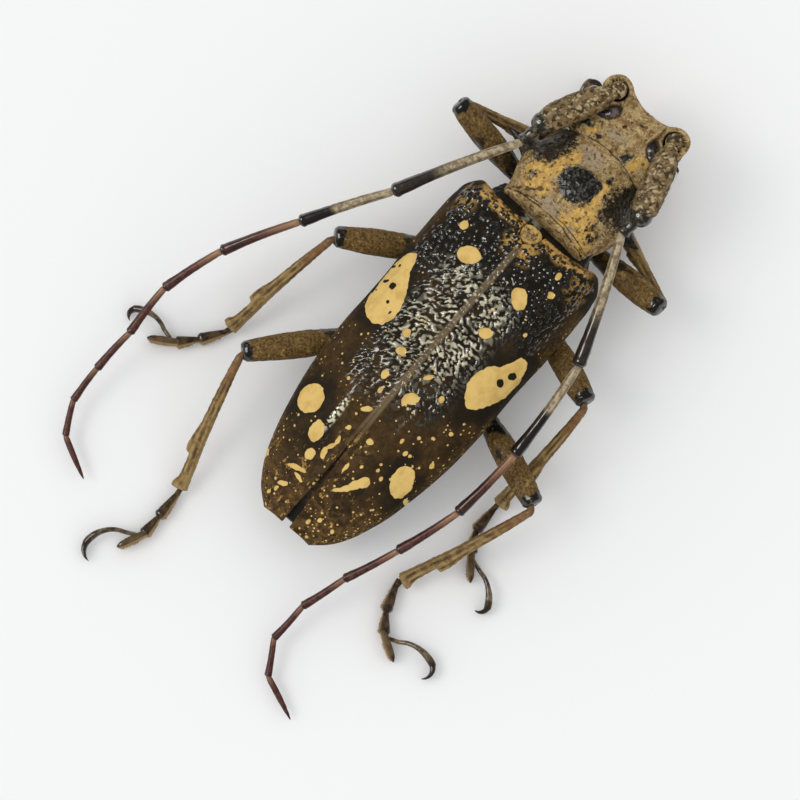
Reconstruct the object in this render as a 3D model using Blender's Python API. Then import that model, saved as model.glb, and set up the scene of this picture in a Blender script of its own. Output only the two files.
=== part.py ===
"""A longhorn beetle, a female 40 mm long without her feelers, standing still on a level floor.

Lengths are in millimetres and become metres as each mesh is made. The head looks along -Y, the
beetle's left side is +X, and the floor is Z = 0. The body is drawn about its own midline, and the
frame at the end moves the whole beetle so that the origin lies on the floor under its middle.
"""

import math
from dataclasses import dataclass

import bmesh
import bpy
import numpy as np
from mathutils import Matrix, Vector

MM = 0.001
GAP = 0.3

# The wing cases: where each station lies, half width, height of the side edge, height at the seam
WING_CASE_STATIONS = (
    (-7.5, 5.35, 6.1, 7.95),
    (-7.1, 5.95, 5.8, 8.5),
    (-6.3, 6.25, 5.45, 8.95),
    (-4.5, 6.4, 5.2, 9.35),
    (-2.0, 6.42, 5.05, 9.55),
    (2.0, 6.28, 4.95, 9.6),
    (6.5, 6.3, 4.8, 9.35),
    (9.7, 6.08, 4.6, 8.85),
    (12.5, 5.6, 4.35, 8.1),
    (15.5, 4.82, 4.05, 6.95),
    (17.5, 3.95, 3.85, 6.0),
    (18.7, 3.1, 3.72, 5.3),
    (19.6, 2.05, 3.65, 4.8),
)
WING_CASE_THICKNESS = 0.55
WING_CASE_FULLNESS = 2.35
EDGE_TUCK = 0.25
SEAM_STATIONS = (
    (-7.5, 1.25),
    (-6.75, 1.15),
    (-6.2, 0.7),
    (-5.75, 0.15),
    (-4.0, 0.15),
    (12.0, 0.15),
    (19.6, 0.36),
)
ARC_STEPS = 12
RING_SPACING = 1.5

# The hind thorax and the abdomen lie under the wing cases: where each station lies, height of the keel
KEEL_STATIONS = (
    (-7.9, 3.3),
    (-6.5, 2.5),
    (-3.0, 2.35),
    (4.0, 2.35),
    (8.0, 2.45),
    (12.0, 2.6),
    (15.0, 2.9),
    (17.5, 3.2),
    (19.2, 3.55),
)
BELLY_FULLNESS = 1.6
THORAX_FRONT = -7.6
THORAX_REAR = 3.9
ABDOMEN_FRONT = 4.2
ABDOMEN_REAR = 19.15
PLATE_JOINTS = (7.9, 10.7, 13.3, 15.9)
PLATE_GROOVE = 0.14
GROOVE_HALF_WIDTH = 0.25
TRUNK_INSET = WING_CASE_THICKNESS + 1.3 * GAP
TRUNK_FRONT_TAPER = 2.2
TRUNK_RINGS = 9
TRUNK_SIDES = 28

# The first thorax ring: where each station lies, half width, height of the crown, height of the keel
PROTHORAX_STATIONS = (
    (-15.3, 3.7, 8.0, 3.0),
    (-14.95, 3.92, 8.3, 2.8),
    (-14.2, 4.08, 8.45, 2.65),
    (-13.2, 4.38, 8.75, 2.6),
    (-12.0, 4.6, 8.95, 2.6),
    (-10.8, 4.42, 8.85, 2.6),
    (-9.7, 4.05, 8.5, 2.7),
    (-9.15, 3.86, 8.2, 2.8),
    (-8.75, 3.98, 8.4, 2.8),
    (-8.15, 3.8, 8.1, 2.9),
)
PROTHORAX_RINGS = 20
PROTHORAX_SIDES = 26
PROTHORAX_FULLNESS = 2.3
FRONT_BOW = 0.062
SPINE_Y = -12.0
SPINE_ROOT = 3.9
SPINE_TIP = 6.2
SPINE_HEIGHT = 5.5
SPINE_SIZES = ((0.0, 0.8), (0.4, 0.4), (1.0, 0.05))

# The small shield between the wing cases: its outline, how it slopes, and its heights with their scales
SCUTELLUM_Y = -7.05
SCUTELLUM_HALF_WIDTH = 0.75
SCUTELLUM_HALF_LENGTH = 0.78
SCUTELLUM_FULLNESS = 2.4
SCUTELLUM_SLOPE = 0.4
SCUTELLUM_SIDES = 20
SCUTELLUM_STATIONS = ((8.0, 0.8), (8.15, 1.0), (8.4, 0.98), (8.52, 0.75))

# The front of the body is turned a little to the beetle's right
NECK = Vector((0.1, -8.0, 0.0))
PROTHORAX_TURN = -3.5
HEAD_SHIFT = Vector((-0.5, 0.0, 0.0))
HEAD_TURN = -3.0
HEAD_PIVOT = Vector((0.0, -15.4, 0.0))

# The head, from the mouth upwards: height, half width, where the face lies, where the nape lies
HEAD_STATIONS = (
    (2.15, 1.7, -18.55, -16.7),
    (2.35, 2.25, -18.9, -16.2),
    (3.0, 2.75, -19.1, -15.85),
    (4.0, 3.1, -19.3, -15.75),
    (5.2, 3.35, -19.4, -15.75),
    (6.3, 3.42, -19.4, -15.75),
    (7.1, 3.35, -19.25, -15.7),
    (7.6, 3.15, -19.0, -15.7),
    (7.95, 2.8, -18.65, -15.75),
    (8.15, 2.0, -18.1, -15.95),
)
HEAD_SIDES = 32
HEAD_RINGS = 15
HEAD_FULLNESS = 2.9
SOCKET = Vector((2.72, -18.75, 8.35))
TUBERCLE_ROOT = Vector((1.7, -17.85, 6.2))
TUBERCLE_SIZES = ((0.0, 1.75), (0.55, 1.34), (0.9, 1.0), (1.0, 0.9))
SOCKET_RADIUS = 0.82
SOCKET_DEPTH = 0.55

# One eye, from the foot of its lower lobe round behind the feeler to the upper lobe:
# a point on the head, half the width there and half the thickness
EYE_ROWS = (
    (3.1, -18.4, 4.45, 0.3, 0.22),
    (3.36, -18.2, 5.0, 0.85, 0.36),
    (3.42, -18.0, 5.75, 1.0, 0.4),
    (3.36, -17.5, 6.5, 0.72, 0.36),
    (3.1, -17.0, 7.1, 0.4, 0.3),
    (2.6, -16.75, 7.55, 0.36, 0.28),
    (2.0, -17.0, 7.85, 0.45, 0.28),
    (1.6, -17.55, 7.95, 0.42, 0.28),
    (1.45, -18.0, 7.9, 0.26, 0.24),
)
HEAD_MIDDLE = Vector((0.0, -17.4, 5.6))

# The mouth: middle lines with half width and half height, and the lip's outline with heights and scales
JAW_ROWS = (
    (1.85, -18.0, 1.7, 0.5, 0.45),
    (1.8, -18.15, 1.2, 0.48, 0.42),
    (1.25, -18.3, 0.75, 0.4, 0.34),
    (0.6, -18.35, 0.6, 0.3, 0.25),
    (0.2, -18.35, 0.55, 0.12, 0.12),
)
PALP_ROWS = (
    (1.15, -16.9, 1.85, 0.27, 0.27),
    (1.35, -16.95, 1.3, 0.3, 0.3),
    (1.5, -17.1, 0.95, 0.27, 0.27),
    (1.35, -17.35, 0.62, 0.3, 0.3),
    (1.0, -17.5, 0.45, 0.2, 0.2),
)
LIP_Y = -19.0
LIP_HALF_WIDTH = 1.05
LIP_HALF_DEPTH = 0.28
LIP_STATIONS = ((1.85, 0.95), (1.7, 1.0), (1.35, 1.0), (1.2, 0.85))

# The feelers: shares of a joint's length with the radius there; later joints have a slim and a swollen radius
SCAPE_RADII = ((0.0, 0.42), (0.08, 0.55), (0.2, 0.82), (0.45, 0.93), (0.72, 0.95), (0.9, 0.88), (1.0, 0.68))
SCAPE_START = 0.3
SCAPE_BOW = 0.35
ROOT_RISE = 0.35
ROOT_RADIUS = 0.52
SCAR_RADII = (0.8, 0.8, 0.75)
PEDICEL_SIZES = ((0.0, 0.36), (0.5, 0.42), (0.94, 0.42), (1.0, 0.3))
JOINT_RADII = ((0.33, 0.5), (0.32, 0.46), (0.3, 0.42), (0.29, 0.39), (0.28, 0.36),
               (0.27, 0.34), (0.26, 0.33), (0.26, 0.31), (0.27, 0.25))
JOINT_PROFILE = ((0.0, 0.0), (0.45, 0.08), (0.78, 0.6), (0.93, 1.0), (1.0, 0.62))
JOINT_ROOT_SHARE = 0.04
LAST_JOINT_RADII = (0.27, 0.29, 0.23, 0.135, 0.07)
FEELER_SIDES = 8
FEELER_NODES = (("base", 0, 3), ("middle", 3, 6), ("tip", 6, 9))


@dataclass(frozen=True)
class Feeler:
    """One feeler's pose: its first joint's far end, its second joint's far end and every later joint."""

    side: str
    sign: int
    scape_end: tuple
    pedicel_end: tuple
    joints: tuple


FEELERS = (
    Feeler("left", 1, (4.55, -13.5, 9.0), (4.8, -11.5, 8.75), (
        (9.75, 61.1, -5.0), (6.95, 57.5, -8.0), (6.1, 59.2, -13.0), (5.0, 71.5, -16.0), (4.15, 91.0, -16.5),
        (3.55, 86.5, -14.0), (2.9, 93.0, -12.0), (2.6, 118.0, -9.0), (3.4, 153.5, -5.0))),
    Feeler("right", -1, (-5.08, -12.95, 9.0), (-4.83, -11.1, 8.75), (
        (9.83, 112.4, -5.0), (7.7, 94.6, -8.0), (5.75, 85.6, -13.0), (5.15, 72.0, -16.0), (4.45, 67.3, -16.5),
        (3.65, 73.0, -14.0), (3.12, 88.2, -12.0), (2.75, 121.9, -9.0), (3.5, 158.0, -5.0))),
)

# The legs: shares of the thigh's length with the radius, and of the shin's with outward bulge and radius
THIGH_PROFILE = ((0.0, 0.38), (0.1, 0.48), (0.28, 0.78), (0.5, 0.96), (0.7, 0.96), (0.86, 0.82), (0.95, 0.72),
                 (1.0, 0.5))
SHIN_PROFILE = {
    "fore": ((0.0, 0.0, 0.3), (0.15, 0.1, 0.34), (0.5, 0.2, 0.42), (0.8, 0.12, 0.52), (1.0, 0.0, 0.55)),
    "mid": ((0.0, 0.0, 0.3), (0.12, 0.08, 0.34), (0.4, 0.18, 0.42), (0.7, 0.24, 0.55), (0.74, 0.14, 0.44),
            (0.87, 0.06, 0.52), (1.0, 0.06, 0.6)),
}
SHIN_PROFILE["hind"] = SHIN_PROFILE["mid"]
SHIN_FLATNESS = 0.9
SHIN_START = {"fore": (0.3, 1.25), "mid": (0.75, 0.9), "hind": (0.75, 0.9)}
KNEE_REACH = 0.35
LEG_SIDES = 10
HIP_RISE = 0.6
HIP_SHAPE = (1.25, 1.0, 1.3)
HIP_CLEARANCE = 0.7

# The feet: lengths of the three pads, then rows of share of the length, half width, bottom and top
FOOT_LENGTHS = (2.15, 1.65, 2.1)
PAD_OVERLAP = 0.25
PAD_ROWS = ((0.0, 0.25, 0.3, 0.85), (0.35, 0.32, 0.12, 1.0), (0.75, 0.4, 0.0, 1.1), (0.97, 0.38, 0.0, 1.1))
LOW_LOBE_ROWS = ((-0.12, 0.25, 0.1, 0.5), (0.3, 0.27, 0.0, 0.5), (0.75, 0.3, 0.0, 0.5), (1.0, 0.12, 0.0, 0.38))
HIGH_LOBE_ROWS = ((-0.12, 0.25, 0.72, 1.22), (0.3, 0.27, 0.72, 1.22), (0.75, 0.3, 0.72, 1.22),
                  (1.0, 0.12, 0.82, 1.1))
HEEL_ROWS = ((-0.14, 0.25, 0.3, 0.9), (0.0, 0.28, 0.15, 1.05), (0.18, 0.25, 0.2, 1.0))
CLAW_JOINT_START = 0.72
CLAW_JOINT_CLEARANCE = 0.85
CLAW_JOINT_LENGTH = {"fore": 1.6, "mid": 3.0, "hind": 3.3}
CLAW_JOINT_STEPS = 7
CLAW_JOINT_SIZES = ((0.0, 0.25), (0.6, 0.27), (1.0, 0.36))
CLAW_JOINT_HEIGHT = 0.6
CLAW_JOINT_ARCH = 0.35
CLAW_STEPS = 6
CLAW_LENGTH = {"fore": 1.2, "mid": 1.25, "hind": 1.5}
CLAW_RADIUS = 0.29
CLAW_TIP_RADIUS = 0.04
CLAW_ROOT_SPLAY = 0.12
CLAW_SPLAY = 0.3


@dataclass(frozen=True)
class Leg:
    """One leg's pose: where its hip, knee and ankle lie, and which way its foot's joints point."""

    pair: str
    side: str
    hip: tuple
    hip_radius: float
    knee: tuple
    ankle: tuple
    foot_start: tuple
    foot_headings: tuple
    claw_headings: tuple
    claw_turn: float
    foot_scale: float
    bow: float


LEGS = (
    Leg("fore", "left", (1.5, -10.1, 1.65), 1.0, (10.08, -11.23, 5.9), (5.1, -13.8, 1.0),
        (4.75, -14.15, 0.0), (-102.0, -105.0, -98.0), (-50.0, -105.0), -95.0, 0.78, 0.25),
    Leg("fore", "right", (-1.5, -10.1, 1.65), 1.0, (-10.0, -9.3, 5.9), (-4.5, -12.65, 1.0),
        (-4.25, -13.1, 0.0), (-95.0, -92.0, -95.0), (-42.0, -105.0), -105.0, 0.78, -0.25),
    Leg("mid", "left", (2.3, -4.3, 1.7), 1.0, (10.6, 1.62, 5.25), (12.65, 11.25, 1.0),
        (12.75, 11.65, 0.0), (56.0, 48.0, 32.0), (-40.0, 35.0), 120.0, 1.0, 1.0),
    Leg("mid", "right", (-2.3, -4.3, 1.7), 1.0, (-10.3, -0.95, 5.25), (-10.35, 8.3, 1.0),
        (-10.3, 8.75, 0.0), (92.0, 119.0, 129.0), (180.0, 118.0), -110.0, 1.0, -1.0),
    Leg("hind", "left", (2.7, 3.1, 1.55), 0.95, (10.2, 12.1, 5.05), (7.75, 22.4, 1.0),
        (7.7, 22.9, 0.0), (92.0, 90.0, 66.5), (5.0, 88.0), 84.0, 1.0, 1.0),
    Leg("hind", "right", (-2.7, 3.1, 1.55), 0.95, (-12.16, 7.0, 5.05), (-8.65, 17.0, 1.0),
        (-8.5, 17.5, 0.0), (110.0, 126.0, 150.0), (230.0, 158.0), -112.0, 1.0, -1.0),
)


def curve_through(stations, position):
    """Read a smooth curve through rows of a position and its values."""
    positions = np.array([row[0] for row in stations], dtype=float)
    values = np.array([row[1:] for row in stations], dtype=float)
    slopes = np.gradient(values, positions, axis=0)
    last = len(positions) - 2
    index = int(np.clip(np.searchsorted(positions, position) - 1, 0, last))
    span = positions[index + 1] - positions[index]
    share = (position - positions[index]) / span
    square = share * share
    cube = square * share
    start = values[index] * (2 * cube - 3 * square + 1) + slopes[index] * span * (cube - 2 * square + share)
    end = values[index + 1] * (3 * square - 2 * cube) + slopes[index + 1] * span * (cube - square)
    return start + end


def spread(first, last, count):
    """Give evenly spaced positions from the first to the last."""
    return [first + (last - first) * step / (count - 1) for step in range(count)]


def ring_places(stations, others):
    """Give the places of two rows of stations, with more between those that lie far apart."""
    marks = sorted({row[0] for row in stations} | {row[0] for row in others})
    places = [marks[0]]
    for mark in marks[1:]:
        steps = math.ceil((mark - places[-1]) / RING_SPACING)
        places.extend(spread(places[-1], mark, steps + 1)[1:])
    return places


def power_arc(angle, fullness):
    """Give the sideways and upward shares of a full, squarish arc at an angle from straight up."""
    across = math.copysign(abs(math.sin(angle)) ** (2 / fullness), math.sin(angle))
    upward = math.copysign(abs(math.cos(angle)) ** (2 / fullness), math.cos(angle))
    return across, upward


def turned(point, pivot, degrees):
    """Turn a point about a vertical line through a pivot."""
    return Matrix.Rotation(math.radians(degrees), 3, "Z") @ (Vector(point) - pivot) + pivot


def loft(name, rings):
    """Join closed rings of equal length into one capped body."""
    mesh = bmesh.new()
    rows = [[mesh.verts.new(Vector(point) * MM) for point in ring] for ring in rings]
    count = len(rows[0])
    for low, high in zip(rows, rows[1:]):
        for step in range(count):
            after = (step + 1) % count
            mesh.faces.new((low[step], low[after], high[after], high[step]))
    for row in (rows[0], rows[-1]):
        middle = sum((vert.co for vert in row), Vector()) / count
        pole = mesh.verts.new(middle)
        for step in range(count):
            mesh.faces.new((row[step], row[(step + 1) % count], pole))
    bmesh.ops.recalc_face_normals(mesh, faces=mesh.faces)
    data = bpy.data.meshes.new(name)
    mesh.to_mesh(data)
    mesh.free()
    body = bpy.data.objects.new(name, data)
    bpy.context.scene.collection.objects.link(body)
    return body


def tube(name, path, sizes, sides, outward=None):
    """Loft ovals along a path; sizes hold half the width and half the height at every point.

    The height lies along the outward direction of each point, or straight up where none is given.
    """
    points = [Vector(point) for point in path]
    rings = []
    for index, point in enumerate(points):
        before = points[max(index - 1, 0)]
        after = points[min(index + 1, len(points) - 1)]
        along = (after - before).normalized()
        upright = outward[index] if outward else Vector((0, 0, 1))
        across = along.cross(upright).normalized()
        upright = across.cross(along).normalized()
        half_width, half_height = sizes[index]
        ring = []
        for step in range(sides):
            angle = 2 * math.pi * (step + 0.5) / sides
            sideways = across * (half_width * math.cos(angle))
            ring.append(point + sideways + upright * (half_height * math.sin(angle)))
        rings.append(ring)
    return loft(name, rings)


def straight_tube(name, start, end, shares, sides):
    """Loft round rings along a straight line; shares hold a share of the length and the radius there."""
    path = [start.lerp(end, share) for share, _ in shares]
    return tube(name, path, [(radius, radius) for _, radius in shares], sides)


def ball(name, centre, radii, segments, rings):
    """Make a round or egg-shaped body."""
    mesh = bmesh.new()
    bmesh.ops.create_uvsphere(mesh, u_segments=segments, v_segments=rings, radius=1.0)
    shape = Matrix.Translation(Vector(centre) * MM) @ Matrix.Diagonal((*(Vector(radii) * MM), 1.0))
    bmesh.ops.transform(mesh, matrix=shape, verts=mesh.verts)
    data = bpy.data.meshes.new(name)
    mesh.to_mesh(data)
    mesh.free()
    body = bpy.data.objects.new(name, data)
    bpy.context.scene.collection.objects.link(body)
    return body


def remove(bodies):
    """Delete bodies that were only used for shaping."""
    for body in bodies:
        bpy.data.objects.remove(body, do_unlink=True)


def apply_modifiers(body):
    """Replace a body's mesh by the one its modifiers give."""
    graph = bpy.context.evaluated_depsgraph_get()
    data = bpy.data.meshes.new_from_object(body.evaluated_get(graph))
    body.modifiers.clear()
    body.data = data


def combine(body, pieces, operation):
    """Fuse pieces to a body, or cut them from it, in one Boolean step."""
    group = bpy.data.collections.new(body.name + "_pieces")
    for piece in pieces:
        group.objects.link(piece)
    modifier = body.modifiers.new(operation.title(), "BOOLEAN")
    modifier.operation = operation
    modifier.operand_type = "COLLECTION"
    modifier.collection = group
    apply_modifiers(body)
    remove(pieces)
    bpy.data.collections.remove(group)
    keep_largest(body)
    return body


def keep_largest(body):
    """Keep only the largest closed surface of a body."""
    mesh = bmesh.new()
    mesh.from_mesh(body.data)
    waiting = set(mesh.faces)
    surfaces = []
    while waiting:
        seed = waiting.pop()
        surface = {seed}
        front = [seed]
        while front:
            face = front.pop()
            for edge in face.edges:
                for other in edge.link_faces:
                    if other in waiting:
                        waiting.remove(other)
                        surface.add(other)
                        front.append(other)
        surfaces.append(surface)
    surfaces.sort(key=lambda surface: sum(face.calc_area() for face in surface), reverse=True)
    scraps = [face for surface in surfaces[1:] for face in surface]
    bmesh.ops.delete(mesh, geom=scraps, context="FACES")
    mesh.to_mesh(body.data)
    mesh.free()


def turn_body(body, pivot, degrees, shift=Vector()):
    """Turn a body's mesh about a vertical line, then move it."""
    move = Matrix.Translation((pivot + shift) * MM) @ Matrix.Rotation(math.radians(degrees), 4, "Z")
    body.data.transform(move @ Matrix.Translation(-pivot * MM))


def finish(body, material, smooth_angle=40.0):
    """Give a body its material and smooth its round faces."""
    body.data.materials.clear()
    body.data.materials.append(material)
    body.data.shade_smooth()
    body.data.set_sharp_from_angle(angle=math.radians(smooth_angle))
    return body


def make_material(name, colour, roughness, metallic=0.0):
    """Make one finish: its colour as linear values, its roughness and how metallic it is."""
    material = bpy.data.materials.new(name)
    material.use_nodes = True
    shader = material.node_tree.nodes["Principled BSDF"]
    shader.inputs["Base Color"].default_value = (*colour, 1.0)
    shader.inputs["Roughness"].default_value = roughness
    shader.inputs["Metallic"].default_value = metallic
    return material


def wing_case_section(position):
    """Give half width, edge height, crown height and seam offset of the wing cases at a place along Y."""
    half_width, edge, crown = curve_through(WING_CASE_STATIONS, position)
    seam = float(np.interp(position, *zip(*SEAM_STATIONS)))
    return half_width, edge, crown, seam


def wing_case(name, sign):
    """Make one wing case as a curved shell from the seam to its tucked side edge."""
    rings = []
    for position in ring_places(WING_CASE_STATIONS, SEAM_STATIONS):
        half_width, edge, crown, seam = wing_case_section(position)
        ring = []
        for depth in (0.0, WING_CASE_THICKNESS):
            width = half_width - depth
            height = crown - depth - edge
            first = math.asin(min(1.0, (seam / width) ** (WING_CASE_FULLNESS / 2)))
            arc = []
            for angle in spread(first, math.pi / 2, ARC_STEPS):
                across, upward = power_arc(angle, WING_CASE_FULLNESS)
                arc.append((sign * max(seam, width * across), position, edge + height * upward))
            if depth:
                arc.reverse()
            else:
                arc.append((sign * (half_width - EDGE_TUCK), position, edge - EDGE_TUCK))
            ring.extend(arc)
        rings.append(ring)
    return loft(name, rings)


def under_body(name, first, last, joints=()):
    """Make a length of the trunk that fills the space under the wing cases down to the keel."""
    front = WING_CASE_STATIONS[0][0]
    places = set(spread(first, last, TRUNK_RINGS))
    for joint in joints:
        places.update((joint - GROOVE_HALF_WIDTH, joint, joint + GROOVE_HALF_WIDTH))
    bodies = []
    for position in sorted(places):
        half_width, edge, crown, _ = wing_case_section(max(position, front))
        inset = TRUNK_INSET + TRUNK_FRONT_TAPER * max(0.0, front - position)
        if position in joints:
            inset += PLATE_GROOVE
        width = half_width - inset
        keel = curve_through(KEEL_STATIONS, position)[0] + (PLATE_GROOVE if position in joints else 0.0)
        ring = []
        for step in range(TRUNK_SIDES):
            angle = 2 * math.pi * (step + 0.5) / TRUNK_SIDES
            upper = math.cos(angle) > 0
            across, upward = power_arc(angle, WING_CASE_FULLNESS if upper else BELLY_FULLNESS)
            height = crown - inset - edge if upper else edge - keel
            ring.append((width * across, position, edge + height * upward))
        bodies.append(ring)
    return loft(name, bodies)


def hip_body(leg):
    """Make the round hip that carries a leg, standing deep in the trunk."""
    x, y, z = leg.hip
    radii = [leg.hip_radius * share for share in HIP_SHAPE]
    return ball("hip", (x, y, z + HIP_RISE), radii, 8, 6)


def make_hind_thorax():
    """Make the middle and hind thorax with the round hips of its four legs."""
    body = under_body("hind_thorax", THORAX_FRONT, THORAX_REAR)
    hips = [hip_body(leg) for leg in LEGS if leg.pair != "fore"]
    return combine(body, hips, "UNION")


def make_abdomen():
    """Make the abdomen with the grooves between its belly plates."""
    return under_body("abdomen", ABDOMEN_FRONT, ABDOMEN_REAR, PLATE_JOINTS)


def make_prothorax():
    """Make the first thorax ring with its side spines and the round hips of the front legs."""
    rings = []
    front = PROTHORAX_STATIONS[0][0]
    rear = PROTHORAX_STATIONS[-1][0]
    for position in spread(front, rear, PROTHORAX_RINGS):
        half_width, crown, keel = curve_through(PROTHORAX_STATIONS, position)
        middle = (crown + keel) / 2
        bow = FRONT_BOW * (rear - position) / (rear - front)
        ring = []
        for step in range(PROTHORAX_SIDES):
            angle = 2 * math.pi * (step + 0.5) / PROTHORAX_SIDES
            across, upward = power_arc(angle, PROTHORAX_FULLNESS)
            x = half_width * across
            ring.append((x, position + bow * x * x, middle + (crown - keel) / 2 * upward))
        rings.append(ring)
    body = loft("prothorax", rings)
    pieces = []
    for sign in (-1, 1):
        root = Vector((sign * SPINE_ROOT, SPINE_Y, SPINE_HEIGHT))
        tip = Vector((sign * SPINE_TIP, SPINE_Y, SPINE_HEIGHT))
        pieces.append(straight_tube("spine", root, tip, SPINE_SIZES, 10))
    pieces.extend(hip_body(leg) for leg in LEGS if leg.pair == "fore")
    combine(body, pieces, "UNION")
    turn_body(body, NECK, PROTHORAX_TURN)
    return body


def make_scutellum():
    """Make the small shield between the roots of the wing cases."""
    rings = []
    for height, scale in SCUTELLUM_STATIONS:
        ring = []
        for step in range(SCUTELLUM_SIDES):
            across, forward = power_arc(2 * math.pi * step / SCUTELLUM_SIDES, SCUTELLUM_FULLNESS)
            behind = -SCUTELLUM_HALF_LENGTH * forward
            ring.append((SCUTELLUM_HALF_WIDTH * across * scale, SCUTELLUM_Y + behind * scale,
                         height + SCUTELLUM_SLOPE * behind))
        rings.append(ring)
    return loft("scutellum", rings)


def eye_body(name, sign, grown):
    """Make one eye's strap, or its grown copy that cuts the eye's seat."""
    path = [Vector((sign * row[0], row[1], row[2])) for row in EYE_ROWS]
    if grown:
        path[0] += (path[0] - path[1]).normalized() * grown
        path[-1] += (path[-1] - path[-2]).normalized() * grown
    sizes = [(row[3] + grown, row[4] + grown) for row in EYE_ROWS]
    outward = [(point - HEAD_MIDDLE).normalized() for point in path]
    return tube(name, path, sizes, 12, outward)


def make_head():
    """Make the head: a flat upright face, the two raised feeler sockets and the seats of the eyes."""
    rings = []
    for height in spread(HEAD_STATIONS[0][0], HEAD_STATIONS[-1][0], HEAD_RINGS):
        half_width, face, nape = curve_through(HEAD_STATIONS, height)
        middle = (face + nape) / 2
        ring = []
        for step in range(HEAD_SIDES):
            angle = 2 * math.pi * (step + 0.5) / HEAD_SIDES
            across, forward = power_arc(angle, HEAD_FULLNESS)
            x = half_width * across
            y = middle + (face - nape) / 2 * forward
            behind = max(0.0, y - middle) / (nape - middle)
            ring.append((x, y + FRONT_BOW * x * x * behind, height))
        rings.append(ring)
    body = loft("head", rings)
    tubercles = []
    cuts = []
    for sign in (-1, 1):
        root = Vector((sign * TUBERCLE_ROOT.x, TUBERCLE_ROOT.y, TUBERCLE_ROOT.z))
        top = Vector((sign * SOCKET.x, SOCKET.y, SOCKET.z))
        tubercles.append(straight_tube("tubercle", root, top, TUBERCLE_SIZES, 16))
        low = top - Vector((0, 0, SOCKET_DEPTH))
        high = top + Vector((0, 0, 1.0))
        cuts.append(tube("socket", [low, high], [(SOCKET_RADIUS,) * 2] * 2, 16, [Vector((0, 1, 0))] * 2))
        cuts.append(eye_body("seat", sign, GAP))
    combine(body, tubercles, "UNION")
    combine(body, cuts, "DIFFERENCE")
    place_on_head(body)
    return combine(body, [scape_shaft("room", feeler, GAP) for feeler in FEELERS], "DIFFERENCE")


def place_on_head(body):
    """Turn a piece of the head with it."""
    turn_body(body, HEAD_PIVOT, HEAD_TURN, HEAD_SHIFT)
    return body


def mouth_piece(name, sign, rows, sides):
    """Make one curved piece of the mouth along its middle line."""
    path = [(sign * row[0], row[1], row[2]) for row in rows]
    return place_on_head(tube(name, path, [row[3:] for row in rows], sides, [Vector((0, -1, 0))] * len(rows)))


def make_labrum():
    """Make the upper lip, a small rounded flap under the face."""
    rings = []
    for height, scale in LIP_STATIONS:
        ring = []
        for step in range(16):
            across, forward = power_arc(2 * math.pi * (step + 0.5) / 16, 3.0)
            ring.append((LIP_HALF_WIDTH * scale * across, LIP_Y - LIP_HALF_DEPTH * scale * forward, height))
        rings.append(ring)
    return place_on_head(loft("labrum", rings))


def scape_root(feeler):
    """Give the middle of the round root that sits in a feeler's socket."""
    socket = Vector((feeler.sign * SOCKET.x, SOCKET.y, SOCKET.z))
    return turned(socket, HEAD_PIVOT, HEAD_TURN) + HEAD_SHIFT + Vector((0, 0, ROOT_RISE))


def scape_shaft(name, feeler, grown):
    """Make the shaft of a feeler's first joint, or its grown copy that clears the head."""
    root = scape_root(feeler)
    end = Vector(feeler.scape_end)
    start = root + (end - root).normalized() * SCAPE_START
    path = []
    for share, _ in SCAPE_RADII:
        path.append(start.lerp(end, share) + Vector((0, 0, SCAPE_BOW * math.sin(math.pi * share))))
    return tube(name, path, [(radius + grown, radius + grown) for _, radius in SCAPE_RADII], 12)


def make_scape(feeler):
    """Make a feeler's thick first joint with its root ball, its end ball and the small second joint."""
    end = Vector(feeler.scape_end)
    tip = Vector(feeler.pedicel_end)
    body = scape_shaft("antenna_" + feeler.side + "_scape", feeler, 0.0)
    pieces = [
        ball("root", scape_root(feeler), (ROOT_RADIUS,) * 3, 12, 8),
        ball("scar", end, SCAR_RADII, 12, 8),
        straight_tube("pedicel", end, tip, PEDICEL_SIZES, 10),
    ]
    return combine(body, pieces, "UNION")


def feeler_points(feeler):
    """Follow a feeler's later joints and give where each one starts and ends."""
    point = Vector(feeler.pedicel_end)
    points = [point]
    for length, heading, rise in feeler.joints:
        flat = math.cos(math.radians(rise))
        way = Vector((flat * math.cos(math.radians(heading)), flat * math.sin(math.radians(heading)),
                      math.sin(math.radians(rise))))
        point = point + way * length
        points.append(point)
    return points


def make_feeler_length(feeler, part, first, last):
    """Make three joints of a feeler, each slim at its root and swollen near its end."""
    points = feeler_points(feeler)
    path = []
    sizes = []
    for index in range(first, last):
        start = points[index]
        end = points[index + 1]
        if index == first:
            start = start + (end - start).normalized() * GAP
        root, swell = JOINT_RADII[index]
        for step, (share, fullness) in enumerate(JOINT_PROFILE):
            if index > first:
                share = max(share, JOINT_ROOT_SHARE)
            radius = root + (swell - root) * fullness
            if index == len(JOINT_RADII) - 1:
                radius = LAST_JOINT_RADII[step]
            path.append(start.lerp(end, share))
            sizes.append((radius, radius))
    return tube("antenna_" + feeler.side + "_" + part, path, sizes, FEELER_SIDES)


def thigh_axis(leg):
    """Give where a leg's thigh starts, clear of its hip, and where it ends."""
    hip = Vector(leg.hip)
    if leg.pair == "fore":
        hip = turned(hip, NECK, PROTHORAX_TURN)
    knee = Vector(leg.knee)
    way = (knee - hip).normalized()
    return hip + way * (leg.hip_radius + HIP_CLEARANCE), knee, way


def make_thigh(leg):
    """Make a leg's thigh, slim at the hip and club-shaped towards the knee."""
    start, knee, way = thigh_axis(leg)
    return straight_tube("leg_" + leg.pair + "_" + leg.side + "_femur", start, knee + way * KNEE_REACH,
                         THIGH_PROFILE, LEG_SIDES)


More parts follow.
